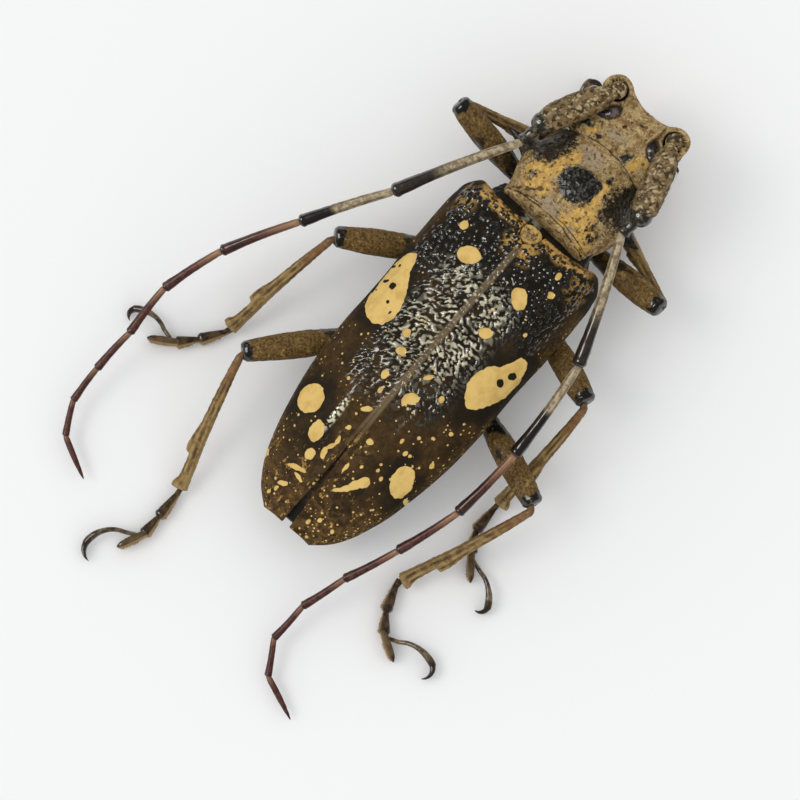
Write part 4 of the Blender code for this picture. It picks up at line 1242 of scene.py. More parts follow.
@dataclass
class Thorax(Assembly):
    """The first thorax ring with its side spines, and the small shield behind it."""

    stations: tuple = (
        (-15.35, 3.65, 7.9, 3.1), (-15.25, 3.85, 8.22, 2.85), (-15.0, 3.98, 8.34, 2.75), (-14.2, 4.1, 8.45, 2.65),
        (-13.2, 4.4, 8.75, 2.6), (-12.0, 4.6, 8.95, 2.6), (-10.8, 4.42, 8.85, 2.6), (-9.8, 4.1, 8.58, 2.7),
        (-9.3, 3.97, 8.4, 2.75), (-9.05, 3.94, 8.33, 2.8), (-8.75, 3.99, 8.36, 2.8), (-8.5, 3.95, 8.28, 2.8),
        (-8.25, 3.92, 8.22, 2.85), (-8.05, 3.75, 7.95, 3.0),
    )
    fullness: float = 2.3
    rows: int = 190
    columns: int = 300
    bow: float = 0.062
    spine_y: float = -11.95
    spine_height: float = 5.6
    spine_lengths: tuple = (2.5, 1.6)
    scoop: float = 0.45
    spine_radius: float = 1.0
    black_marks: tuple = (
        Spot(-0.02, -11.8, 1.45, 1.3, 20.0), Spot(-0.95, -12.5, 0.55, 0.5), Spot(3.1, -12.7, 1.6, 1.0, 70.0),
        Spot(2.95, -10.15, 0.5, 0.33, 70.0), Spot(-2.7, -13.1, 1.2, 0.75, 60.0), Spot(-2.85, -11.9, 1.0, 0.6, 90.0),
        Spot(-2.66, -10.25, 0.36, 0.28), Spot(-3.7, -12.4, 1.3, 0.8, 90.0), Spot(-1.5, -13.6, 0.3, 0.22),
        Spot(-3.2, -9.9, 0.5, 0.25, 80.0),
    )
    ochre_marks: tuple = (
        Spot(1.6, -13.05, 0.6, 0.5), Spot(1.95, -11.9, 0.85, 0.4, 100.0), Spot(2.7, -10.5, 1.2, 0.85, 100.0),
        Spot(1.6, -10.0, 0.5, 0.35), Spot(-1.55, -12.8, 0.55, 0.32, 100.0), Spot(-1.7, -11.7, 0.55, 0.3, 120.0),
        Spot(-1.8, -10.4, 1.0, 0.7, 60.0), Spot(-2.7, -9.6, 1.2, 0.7, 120.0), Spot(-1.0, -9.2, 0.6, 0.35),
    )
    grey_marks: tuple = (
        Spot(0.7, -13.9, 1.2, 0.8, 0.0), Spot(0.45, -9.3, 0.7, 0.9), Spot(-1.0, -9.0, 0.9, 0.4, 0.0),
    )
    rust_marks: tuple = (Spot(2.25, -9.35, 0.8, 0.14, 41.0), Spot(2.9, -9.0, 0.6, 0.1, 35.0),
            Spot(1.6, -8.8, 0.5, 0.1, 10.0))
    depth_cap: float = 0.3
    shield_y: float = -7.0
    shield_half_width: float = 0.8
    shield_half_length: float = 0.84

    def draw_ring(self) -> Skin:
        """Draw the thorax ring.

        Returns:
            The skin, turned with the front of the body.
        """
        front, rear = self.stations[0][0], self.stations[-1][0]
        y = np.linspace(front, rear, self.rows)
        half_width, crown, keel = curve_through(self.stations, y).T
        angles = ring_angles(self.columns, 0.5)
        across, upward = power_arc(angles, self.fullness)
        x = half_width[:, None] * across
        middle = ((crown + keel) / 2)[:, None]
        z = middle + ((crown - keel) / 2)[:, None] * upward
        bent = y[:, None] + self.bow * ((rear - y) / (rear - front))[:, None] * x * x
        rings = np.stack((x, bent, z), -1)
        top = soft(upward, 0.1, 0.6)[None, :]
        values = self.marks(rings)
        wrinkle = held(1 - 5.0 * np.abs(cloud(rings, (0.34, 0.5, 0.4), 11)))
        near, _ = grains(rings, 0.36, 12)
        lumps = domes(near, 0.5)
        black = soft(values["black"], -0.15, 0.15)
        relief = 0.09 * wrinkle * black + 0.05 * lumps * soft(np.abs(x), 2.2, 3.4) + 0.06 * cloud(rings, 1.2, 13)
        lobe = 0.16 * np.exp(-((np.abs(x) - 1.9) ** 2 + (bent + 12.2) ** 2) / 0.8)
        boss = 0.22 * np.exp(-(x ** 2 + (bent + 11.6) ** 2) / 1.4)
        rings = pushed(rings, (relief + lobe + boss) * (0.3 + 0.7 * top))
        off = np.hypot(bent - self.spine_y, z - self.spine_height) / self.spine_radius
        lengths = np.where(x > 0, self.spine_lengths[0], self.spine_lengths[1])
        rings[..., 0] += np.sign(x) * lengths * held(1 - off) ** 1.35
        scoop = soft(y, -9.6, -8.1)[:, None] * held(1 - (x / 3.6) ** 2) * top
        rings[..., 1] -= self.scoop * scoop
        values["black"] = np.maximum(values["black"], np.clip(0.45 - 0.45 * off, -3, 0.3))
        wander = bent - self.bow * ((rear - y) / (rear - front))[:, None] * x * x + 0.16 * cloud(rings, 0.9, 14)
        seams = sum(hump(wander, seam, 0.07) for seam in (-8.55, -15.2))
        seams = seams + hump(wander, -9.0, 0.06) * soft(-x, -0.2, 0.8)
        broken = soft(cloud(rings, 0.8, 15), -0.3, -0.05)
        rusty = soft(deepest(self.rust_marks, x, bent) + 0.2 * cloud(rings, 0.4, 16), -0.04, 0.05)
        values["line"] = np.maximum(held(seams) * broken, 0.8 * rusty) * top
        sides = soft(bent, -11.0, -11.9) * soft(np.abs(x), 1.9, 2.8)
        right_side = 0.62 * soft(-x, 1.7, 2.6) * soft(bent, -8.8, -9.8)
        strap = 0.5 * soft(y, -9.2, -8.7)[:, None] * soft(np.abs(x - 0.3), 0.4, 1.2)
        values["flank"] = np.maximum(np.maximum(sides, right_side), strap)
        return ring_skin(on_thorax(rings), values)

    def marks(self, rings: Array) -> dict:
        """Work out the black, ochre and grey marks of the thorax ring.

        Args:
            rings: The rings, by ring, place round it and axis.

        Returns:
            Point values by name.
        """
        x, y = rings[..., 0], rings[..., 1]
        above = np.where(rings[..., 2] > 5.0, 0.0, -3.0)
        black = np.minimum(deepest(self.black_marks, x, y), np.where(np.abs(x) < 1.6, self.depth_cap, 0.03)) + above
        ochre = np.clip(deepest(self.ochre_marks, x, y), -0.4, 0.18) + above
        return {"black": black, "ochre": ochre, "grey": deepest(self.grey_marks, x, y) + above}

    def draw_shield(self) -> Skin:
        """Draw the small shield between the wing cases' roots.

        Returns:
            The skin.
        """
        angles = ring_angles(64)
        across, forward = power_arc(angles, 2.4)
        forward = np.where(forward > 0, 0.72 * forward, forward)
        rings = []
        for height, scale in ((7.9, 0.85), (8.2, 0.97), (8.42, 1.0), (8.52, 0.96), (8.55, 0.86), (8.5, 0.7),
                (8.44, 0.4), (8.42, 0.05)):
            y = self.shield_y - self.shield_half_length * forward * scale
            x = self.shield_half_width * across * scale * (1 - 0.14 * held(-forward))
            rings.append(np.stack((x, y, height + 0.42 * (y - self.shield_y)), -1))
        rings = np.array(rings)
        mark = Spot(0.05, self.shield_y + 0.15, 0.42, 0.3, 10.0).depth(rings[..., 0], rings[..., 1])
        around = Spot(0.0, self.shield_y, 0.75, 0.75).depth(rings[..., 0], rings[..., 1])
        still = around * 0
        return ring_skin(rings, {"black": still - 1, "ochre": 0.05 - 0.6 * soft(mark, -0.2, 0.1), "grey": still - 1,
                "flank": 0.7 * soft(mark, -0.15, 0.1)})

    def make(self) -> None:
        """Build the thorax ring and the shield."""
        skin = self.draw_ring()
        for side in Side:
            hip = on_thorax(np.array((side.value * 1.5, -10.1, 2.25)))
            skin.add(egg(hip, (1.3, 1.05, 1.35)))
        self.settle(skin, "thorax_ring", "thorax", "thorax", ("prothorax",))
        self.settle(self.draw_shield(), "wing_shield", "thorax", "thorax", ("scutellum",))


@dataclass
class Trunk(Assembly):
    """The hind thorax and the belly under the wing cases, with the hips of four legs."""

    wing_cases: WingCases = None
    keel: tuple = (
        (-9.2, 4.0), (-7.9, 3.3), (-6.5, 2.5), (-3.0, 2.35), (4.0, 2.35), (8.0, 2.45), (12.0, 2.6), (15.0, 2.9),
        (17.5, 3.2), (19.2, 3.55),
    )
    joints: tuple = (4.05, 7.9, 10.7, 13.3, 15.9)
    split: float = 4.05
    inset: float = 0.62
    belly_fullness: float = 1.6
    hips: tuple = ((2.3, -4.3, 1.7), (2.7, 3.1, 1.55))
    ash_mark: Spot = Spot(0.8, -8.0, 0.9, 0.7)

    def draw(self, first: float, last: float, rows: int) -> Skin:
        """Draw a length of the trunk.

        Args:
            first: Where it starts along Y.
            last: Where it ends along Y.
            rows: How many rings it has.

        Returns:
            The skin.
        """
        y = np.linspace(first, last, rows)
        half_width, edge, crown = curve_through(self.wing_cases.stations, y).T
        ahead = np.clip(WING_CASE_FRONT - y, 0, None)
        inset = self.inset + 0.5 * ahead
        keel = curve_through(self.keel, y)[:, 0]
        groove = sum(hump(y, joint, 0.12) for joint in self.joints) * 0.14
        columns = 120
        angles = ring_angles(columns, 0.5)
        upper = np.cos(angles) > 0
        top = power_arc(angles, self.wing_cases.fullness)
        low = power_arc(angles, self.belly_fullness)
        across = np.where(upper, top[0], low[0])
        upward = np.where(upper, top[1], low[1])
        top_height = np.minimum(crown - inset - edge, 8.05 - edge + 9 * np.clip(y + 7.3, 0, None))
        height = np.where(upper, top_height[:, None], (edge - keel - groove)[:, None])
        x = (half_width - inset - groove)[:, None] * across
        rings = np.stack((x, np.broadcast_to(y[:, None], x.shape), edge[:, None] + height * upward), -1)
        fold = held(1 - 5 * np.abs(cloud(rings, (0.9, 0.3, 0.5), 21)))
        bare = soft(y, -6.5, -7.2)[:, None] * upper
        relief = 0.03 * cloud(rings, 0.8, 22) + 0.07 * fold * bare
        rings = pushed(rings, relief)
        seams = sum(hump(y, joint, 0.1) for joint in self.joints)
        dark = np.maximum(bare, held(seams)[:, None])
        tip = soft(y, 17.0, 18.0)[:, None] * upper
        ash = bare * soft(self.ash_mark.depth(rings[..., 0], rings[..., 1]), -0.15, 0.15)
        return ring_skin(rings, {"bare": np.maximum(dark, tip), "crown": ash})

    def make(self) -> None:
        """Build the hind thorax and the belly."""
        thorax = self.draw(-9.0, self.split - 0.02, 110)
        for x, y, z in self.hips:
            for side in Side:
                thorax.add(egg((side.value * x, y, z + 0.6), (1.35, 1.1, 1.4)))
        self.settle(thorax, "hind_thorax_shell", "belly", "belly", ("hind_thorax",))
        self.settle(self.draw(self.split + 0.02, 19.2, 130), "belly_shell", "belly", "belly", ("abdomen",))


@dataclass
class Head(Assembly):
    """The head: a flat upright face, raised feeler sockets, eyes, jaws, lip and mouth feelers."""

    middle: tuple = (0.0, -17.35, 5.2)
    sections: tuple = (
        (2.1, 1.9, -18.85, -16.3), (3.0, 2.75, -19.15, -15.7), (4.0, 3.1, -19.3, -15.5), (5.2, 3.38, -19.42, -15.3),
        (6.3, 3.5, -19.42, -14.95), (7.1, 3.5, -19.32, -14.92), (8.3, 3.45, -19.2, -14.92),
    )
    bottom: float = 2.15
    top: float = 8.25
    fullness: float = 3.0
    socket: tuple = (2.72, -18.72, 8.45)
    tubercle_root: tuple = (1.9, -17.75, 6.3)
    tubercle_radii: tuple = (1.9, 1.16)
    socket_radius: float = 0.76
    face_cuts: int = 99
    eye_rows: tuple = (
        (3.1, -18.4, 4.45, 0.3, 0.22), (3.36, -18.2, 5.0, 0.85, 0.36), (3.42, -18.0, 5.75, 1.0, 0.4),
        (3.38, -17.5, 6.5, 0.75, 0.36), (3.2, -17.0, 7.1, 0.42, 0.3), (2.6, -16.85, 7.66, 0.36, 0.26),
        (2.2, -17.0, 8.0, 0.38, 0.22), (1.85, -17.45, 8.08, 0.36, 0.22), (1.66, -17.85, 8.0, 0.24, 0.16),
    )
    eye_middle: tuple = (0.0, -17.4, 5.6)
    eye_heights: tuple = (7.4, 9.0)
    eye_sink: float = 0.05
    eye_rim: Spot = Spot(1.95, -17.36, 0.76, 0.5, 62.0)
    black_marks: tuple = (
        Spot(1.49, -15.45, 0.26, 0.17, 20.0), Spot(-0.97, -15.62, 0.46, 0.28, 60.0), Spot(-2.9, -16.2, 0.4, 0.25),
        Spot(3.0, -15.6, 0.7, 0.3, 10.0),
    )
    ochre_marks: tuple = (
        Spot(2.2, -15.5, 0.45, 0.28, 30.0), Spot(-1.8, -15.75, 0.65, 0.32, 80.0), Spot(-2.3, -16.3, 0.4, 0.22),
    )
    grey_marks: tuple = (Spot(0.5, -16.3, 0.9, 0.4, 10.0),)
    pit_marks: tuple = (Spot(0.62, -17.19, 0.17, 0.12, 50.0), Spot(-0.22, -18.09, 0.17, 0.11, 10.0),
            Spot(0.45, -17.75, 0.1, 0.08))
    jaw: tuple = (
        (1.9, -18.0, 2.6, 0.6, 0.55), (1.85, -18.0, 1.7, 0.55, 0.5), (1.8, -18.15, 1.2, 0.48, 0.42),
        (1.25, -18.3, 0.75, 0.4, 0.34), (0.6, -18.35, 0.6, 0.3, 0.25), (0.15, -18.35, 0.52, 0.08, 0.08),
    )
    palp: tuple = (
        (1.1, -16.9, 2.4, 0.26, 0.26), (1.15, -16.9, 1.85, 0.2, 0.2), (1.35, -16.95, 1.3, 0.32, 0.3),
        (1.45, -17.0, 1.1, 0.16, 0.16), (1.5, -17.1, 0.95, 0.28, 0.27), (1.45, -17.2, 0.75, 0.15, 0.15),
        (1.35, -17.35, 0.6, 0.3, 0.3), (1.0, -17.5, 0.44, 0.1, 0.1),
    )

    def depth_field(self, points: Array) -> Array:
        """Give how far points lie outside the head's surface, less than 0 inside.

        Args:
            points: Points in the head's own axes.

        Returns:
            Distances, roughly in millimetres.
        """
        x, y, z = np.abs(points[..., 0]), points[..., 1], points[..., 2]
        shape = z.shape
        half_width, face, nape = curve_through(self.sections, z.ravel()).T.reshape(3, *shape)
        middle, half_depth = (face + nape) / 2, (nape - face) / 2
        centre, half_height = (self.top + self.bottom) / 2, (self.top - self.bottom) / 2
        behind = held((y - middle) / half_depth)
        bent = y - 0.05 * x * x * behind
        half_width = half_width * (1 + 0.13 * soft(y, -17.4, -16.2))
        full = self.fullness
        squarer = full * (1 + 1.2 * soft(behind, 0, 0.5))
        sides = (x / half_width) ** full + np.abs((bent - middle) / half_depth) ** squarer
        away = (sides + (np.abs(z - centre) / half_height) ** (4 * full)) ** (1 / full) - 1
        block = away * half_depth
        root, top = np.array(self.tubercle_root), np.array(self.socket)
        mirrored = np.stack((x, y, z), -1)
        way = top - root
        share = held(((mirrored - root) @ way) / (way @ way))
        radius = self.tubercle_radii[0] + (self.tubercle_radii[1] - self.tubercle_radii[0]) * share
        knob = np.linalg.norm(mirrored - root - share[..., None] * way, axis=-1) - radius
        blend = 0.55
        mixing = held(0.5 + 0.5 * (knob - block) / blend)
        joined = knob * (1 - mixing) + block * mixing - blend * mixing * (1 - mixing)
        cap = z - (top[2] + 0.12 + 0.25 * (x - top[0]))
        knobs = np.where(share > 0.6, np.maximum(joined, np.where(x > 1.6, cap, joined)), joined)
        bowl = self.socket_radius - np.linalg.norm((mirrored - top - (0, 0, 0.15)) * (1, 1, 0.9), axis=-1)
        carved = np.maximum(knobs, bowl)
        groove = 0.05 * np.exp(-(x / 0.07) ** 2) * soft(z, 3.2, 4.0)
        mouth_line = 0.06 * hump(z, 3.0, 0.08) * soft(y, -18.2, -18.8)
        return carved + groove + mouth_line

    def draw_shell(self) -> Skin:
        """Draw the head's shell by meeting its surface along rays from its middle.

        Returns:
            The skin, turned with the head.
        """
        bpy.ops.object.select_all(action="DESELECT")
        bpy.ops.mesh.primitive_cube_add(size=2.0, location=(0, 0, 0))
        cube = bpy.context.object
        bpy.ops.object.mode_set(mode="EDIT")
        bpy.ops.mesh.select_all(action="SELECT")
        bpy.ops.mesh.subdivide(number_cuts=self.face_cuts)
        bpy.ops.object.mode_set(mode="OBJECT")
        corners = np.zeros(len(cube.data.vertices) * 3)
        cube.data.vertices.foreach_get("co", corners)
        faces = [tuple(face.vertices) for face in cube.data.polygons]
        bpy.data.objects.remove(cube, do_unlink=True)
        ways = np.tan(corners.reshape(-1, 3) * 0.72) * np.array((3.6, 2.2, 3.1))
        ways /= np.linalg.norm(ways, axis=1, keepdims=True)
        reach = np.linspace(1.2, 6.2, 126)
        middle = np.array(self.middle)
        found = np.full(len(ways), reach[-1])
        before = self.depth_field(middle + ways * reach[0])
        for start, end in zip(reach, reach[1:]):
            after = self.depth_field(middle + ways * end)
            crossing = (before <= 0) & (after > 0)
            share = before / np.where(crossing, before - after, 1)
            found = np.where(crossing, start + share * (end - start), found)
            before = after
        points = middle + ways * found[:, None]
        outward = ways
        near, _ = grains(points, 0.34, 31)
        pits = held(1 - (near / 0.3) ** 2)
        points = points + outward * (0.05 * cloud(points, 0.9, 32) - 0.035 * pits)[:, None]
        x, y = points[:, 0], points[:, 1]
        above = np.where(points[:, 2] > 6.9, 0.0, -3.0)
        rim = np.abs(np.hypot(np.abs(x) - self.socket[0], y - self.socket[1]) - self.socket_radius)
        line = soft(rim, 0.12, 0.03) * (points[:, 2] > 7.6)
        floor = np.hypot(np.abs(x) - self.socket[0], y - self.socket[1]) < self.socket_radius
        median = soft(np.abs(x), 0.07, 0.02) * 0.3 * soft(y, -18.4, -17.6)
        socket_dark = soft(self.eye_rim.depth(np.abs(x), y), -0.06, 0.04) * (points[:, 2] > 7.0)
        socket_dark = np.maximum(socket_dark, soft(deepest(self.pit_marks, x, y), -0.05, 0.03))
        dark = np.where(floor & (points[:, 2] > 7.2), 0.4, deepest(self.black_marks, x, y) + above)
        values = {
            "black": dark,
            "ochre": np.maximum(deepest(self.ochre_marks, x, y) + above, -0.36),
            "grey": deepest(self.grey_marks, x, y) + above,
            "line": np.maximum(np.maximum(line, median), 0.9 * socket_dark),
            "flank": 0.6 * soft(np.abs(x), 2.5, 3.3) * soft(y, -18.2, -17.4) + 0.3 * soft(y, -15.9, -15.3),
        }
        return Skin(on_head(points), faces, values).faced_out()

    def draw_eye(self, side: Side) -> Skin:
        """Draw one kidney-shaped eye that wraps round behind the feeler's socket.

        Args:
            side: Which side's piece.

        Returns:
            The skin.
        """
        rows = smooth_path(self.eye_rows, 70)
        heights = np.linspace(*self.eye_heights, 81)
        for row in rows:
            if row[2] > self.eye_heights[0]:
                column = np.array([(row[0], row[1], height) for height in heights])
                row[2] = heights[self.depth_field(column) < 0].max() - self.eye_sink
        path = rows[:, :3] * np.array((side.value, 1, 1))
        sizes = rows[:, 3:] * rounded(70, 0.08, 0.08)[:, None]
        along = np.gradient(path, axis=0)
        lift = soft(path[:, 2], 7.2, 7.8)[:, None]
        out = (path - np.array(self.eye_middle)) * (1 - lift) + np.array((0.0, 0.0, 3.0)) * lift
        rings = []
        angles = ring_angles(36)
        for point, way, outward, size in zip(path, along, out, sizes):
            across = unit(np.cross(way, outward))
            up = unit(np.cross(across, way))
            wide = np.outer(np.cos(angles) * size[0], across)
            rings.append(point + wide + np.outer(np.sin(angles) * size[1], up))
        return ring_skin(on_head(np.array(rings)), {})

    def draw_mouth_piece(self, rows: tuple, side: Side, steps: int) -> Skin:
        """Draw a jaw or a mouth feeler along its middle line.

        Args:
            rows: Rows of place, half width and half height.
            side: Which side's piece.
            steps: How many rings are drawn.

        Returns:
            The skin.
        """
        drawn = smooth_path(rows, steps)
        path = drawn[:, :3] * np.array((side.value, 1, 1))
        return ring_skin(on_head(tube(path, drawn[:, 3:], 20, (0, -1, 0.001))), {})

    def draw_lip(self) -> Skin:
        """Draw the upper lip, a small rounded flap under the face.

        Returns:
            The skin.
        """
        angles = ring_angles(40)
        across, forward = power_arc(angles, 3.0)
        rings = []
        for height, scale in ((2.5, 0.9), (1.9, 0.97), (1.7, 1.0), (1.35, 1.0), (1.22, 0.93), (1.16, 0.8),
                (1.15, 0.3)):
            y = -19.0 - 0.28 * scale * forward
            rings.append(np.stack((1.05 * scale * across, y, np.full(40, height)), -1))
        return ring_skin(on_head(np.array(rings)), {})

    def make(self) -> None:
        """Build the head and all that it carries."""
        self.settle(self.draw_shell(), "head_shell", "head", "thorax", ("head",))
        self.settle(self.draw_lip(), "upper_lip", "horn", "mouth", ("labrum",))
        for side in Side:
            word = side.word
            self.settle(self.draw_eye(side), "faceted_eye_" + word, "eye", "eye", ("eye_" + word,))
            jaw = self.draw_mouth_piece(self.jaw, side, 40)
            self.settle(jaw, "jaw_" + word, "horn", "mouth", ("mandible_" + word,))
            palp = self.draw_mouth_piece(self.palp, side, 60)
            self.settle(palp, "mouth_feeler_" + word, "horn", "mouth", ("palp_" + word,))


@dataclass(frozen=True)
class FeelerPose:
    """One feeler's pose: its scape's far end, its second joint's far end and every later joint."""

    side: Side
    scape_end: tuple
    pedicel_end: tuple
    joints: tuple
    colour_change: float


@dataclass
class Feelers(Assembly):
    """Both feelers: a thick rough first joint, a small second one and nine long ones each."""

    head: Head = None
    poses: tuple = (
        FeelerPose(Side.LEFT, (4.55, -13.5, 9.0), (4.8, -11.5, 8.75), (
            (9.75, 61.1, -5.0), (6.95, 57.5, -8.0), (6.1, 59.2, -13.0), (5.0, 71.5, -16.0), (4.15, 91.0, -16.5),
            (3.55, 86.5, -14.0), (2.9, 93.0, -12.0), (2.6, 118.0, -9.0), (3.4, 153.5, -5.0)), 0.62),
        FeelerPose(Side.RIGHT, (-5.08, -12.95, 9.0), (-4.83, -11.1, 8.75), (
            (9.83, 112.4, -5.0), (7.7, 94.6, -8.0), (5.75, 85.6, -13.0), (5.15, 72.0, -16.0), (4.45, 67.3, -16.5),
            (3.65, 73.0, -14.0), (3.12, 88.2, -12.0), (2.75, 121.9, -9.0), (3.5, 158.0, -5.0)), 0.5),
    )
    radii: tuple = ((0.33, 0.5), (0.31, 0.45), (0.28, 0.4), (0.26, 0.36), (0.25, 0.33), (0.235, 0.31),
            (0.22, 0.28), (0.21, 0.26), (0.2, 0.2))
    joint_shape: tuple = ((0.0, 0.7), (0.03, 0.92), (0.1, 1.0), (0.45, 1.15), (0.75, 1.32), (0.93, 1.5),
            (0.985, 1.4), (1.0, 0.95))
    last_shape: tuple = ((0.0, 0.7), (0.06, 0.95), (0.3, 1.1), (0.7, 0.85), (0.92, 0.42), (1.0, 0.1))
    colour_changes: tuple = ((0.5, 0.72),)
    end_darks: tuple = (1.0, 1.0, 1.0, 0.9, 0.75, 0.65, 0.55, 0.5, 0.0)
    pale_ends: tuple = (0.1, 0.5, 0.6, 0.55, 0.5, 0.45, 0.4, 0.35, 0.3)
    pale_shares: tuple = (0.3, 0.25, 0.8, 0.75, 0.65, 0.5, 0.45, 0.4, 0.4)
    scape_radii: tuple = ((0.0, 0.42), (0.08, 0.58), (0.2, 0.84), (0.45, 0.96), (0.72, 0.98), (0.9, 0.9),
            (1.0, 0.66))
    root_rise: float = 0.2
    parts: tuple = (("base", 0, 3), ("middle", 3, 6), ("tip", 6, 9))

    def root(self, pose: FeelerPose) -> Array:
        """Give the middle of the ball that sits in the feeler's socket."""
        x, y, z = self.head.socket
        return on_head(np.array((pose.side.value * x, y, z + self.root_rise - 0.05)))

    def draw_scape(self, pose: FeelerPose) -> Skin:
        """Draw the first two joints.

        Args:
            pose: The feeler's pose.

        Returns:
            The skin.
        """
        root = self.root(pose)
        end = np.array(pose.scape_end)
        start = root + unit(end - root) * 0.35
        share = np.linspace(0, 1, 110)
        path = start + (end - start) * share[:, None]
        path[:, 2] += 0.35 * np.sin(math.pi * share)
        radius = curve_through(self.scape_radii, share)[:, 0]
        rings = tube(path, even(radius), 72)
        near, _ = grains(rings + 0.25 * cloud(rings, 0.4, 46)[..., None], 0.27, 41)
        wave = domes(near, 0.62)
        rings = pushed(rings, 0.07 * wave + 0.05 * cloud(rings, 0.7, 42))
        # The pale crests show mainly along the top as painted highlight, and the groove value darkens the underside
        # as painted shade.
        facing = np.sin(ring_angles(72))[None, :] * np.ones((110, 1))
        painted_top_highlight = (0.25 + 0.75 * soft(facing, 0.5, 0.9)) * soft(cloud(rings, 0.4, 44), -0.3, 0.1)
        bare = soft(share, 0.93, 0.99)[:, None] * np.ones(72)
        skin = ring_skin(rings, {"crest": wave, "top": painted_top_highlight, "groove": soft(facing, 0.5, -0.3), "bare": bare})
        ball = egg(root, (0.64, 0.64, 0.56))
        lumps = cloud(ball.points, 0.22, 45)
        ball.values = {"crest": soft(lumps, 0.0, 0.3), "top": np.full(len(lumps), 0.8),
                "groove": soft(lumps, 0.1, -0.4)}
        skin.add(ball)
        scar = egg(end, (0.8, 0.8, 0.75), 30, 40)
        scar.values = {"bare": np.ones(len(scar.points))}
        skin.add(scar)
        tip = np.array(pose.pedicel_end)
        line = end + (tip - end) * np.linspace(0.2, 1.0, 30)[:, None]
        swell = curve_through(((0.2, 0.3), (0.5, 0.42), (0.75, 0.4), (0.93, 0.47), (1.0, 0.25)),
                np.linspace(0.2, 1.0, 30))
        small = ring_skin(tube(line, np.repeat(swell, 2, axis=1), 28), {"bare": np.ones((30, 28))})
        return skin.add(small)

    def joint_ends(self, pose: FeelerPose) -> list[Array]:
        """Follow the later joints and give where each one starts and ends.

        Args:
            pose: The pose to follow.

        Returns:
            Ten points.
        """
        point = np.array(pose.pedicel_end)
        ends = [point]
        for length, heading, rise in pose.joints:
            way = heading_vector(heading) * math.cos(math.radians(rise))
            way[2] = math.sin(math.radians(rise))
            point = point + way * length
            ends.append(point)
        return ends

    def draw_joint(self, pose: FeelerPose, index: int) -> Skin:
        """Draw one long joint, slim at its root and swollen near its end.

        Args:
            pose: The feeler's pose.
            index: Which of the nine.

        Returns:
            The skin.
        """
        ends = self.joint_ends(pose)
        start, end = ends[index], ends[index + 1]
        last = index == len(self.radii) - 1
        share = np.concatenate((np.linspace(0, 0.12, 10)[:-1], np.linspace(0.12, 0.75, 34)[:-1],
                np.linspace(0.75, 1.0, 24)))
        slim, swollen = self.radii[index]
        shape = curve_through(self.last_shape if last else self.joint_shape, share)[:, 0]
        radius = slim * np.where(shape > 1, 1 + (shape - 1) * 2 * (swollen / slim - 1), shape)
        if last:
            radius = slim * shape
        overlap = unit(end - start) * 0.12
        path = (start - overlap) + (end - start + overlap) * share[:, None]
        bow = 0.015 * np.linalg.norm(end - start) * np.sin(math.pi * share)
        path[:, 0] += bow * pose.side.value
        rings = tube(path, even(radius), 28)
        angle = ring_angles(28)
        keel = 0.012 * np.cos(5 * angle)[None, :] * soft(share, 0.05, 0.2)[:, None]
        rings = pushed(rings, keel + 0.012 * cloud(rings, 0.3, 43 + index))
        dark = soft(share, 0.93, 0.98) * self.end_darks[index]
        if index == 0:
            dark = np.maximum(dark, 0.95 * soft(share, self.colour_changes[0][0], self.colour_changes[0][1]))
        if index == 1:
            dark = np.maximum(dark, soft(share, pose.colour_change - 0.03, pose.colour_change + 0.05))
        if index == 2:
            dark = np.maximum(dark, 0.45 * soft(share, 0.4, 0.8))
        red = 0.0 if index < 2 else 1.0
        pale = soft(share, self.pale_ends[index], 0.02) * self.pale_shares[index]
        angles = np.cos(4 * angle)[None, :] * soft(share, 0.03, 0.12)[:, None] * np.ones((len(share), 1))
        groove = soft(angles, -0.3, -0.9) * 0.8
        values = {"dark": dark[:, None] + 0 * groove, "pale": pale[:, None] + 0 * groove,
                "red": np.full(groove.shape, red), "groove": groove}
        return ring_skin(rings, values)

    def make(self) -> None:
        """Build both feelers."""
        for pose in self.poses:
            word = pose.side.word
            scape = self.draw_scape(pose)
            self.settle(scape, "feeler_" + word + "_root", "scape", "scape", ("antenna_" + word + "_scape",))
            for part, first, last in self.parts:
                skin = Skin()
                for index in range(first, last):
                    skin.add(self.draw_joint(pose, index))
                name = "feeler_" + word + "_" + part
                self.settle(skin, name, "feeler", "feeler", ("antenna_" + word + "_" + part,))


@dataclass(frozen=True)
class LegPose:
    """One leg's pose: where its hip, knee and ankle lie, and which way its foot's joints point."""

    pair: Pair
    side: Side
    hip: tuple
    knee: tuple
    ankle: tuple
    foot_start: tuple
    foot_headings: tuple
    claw_headings: tuple
    claw_turn: float
    scale: float
    bow: float


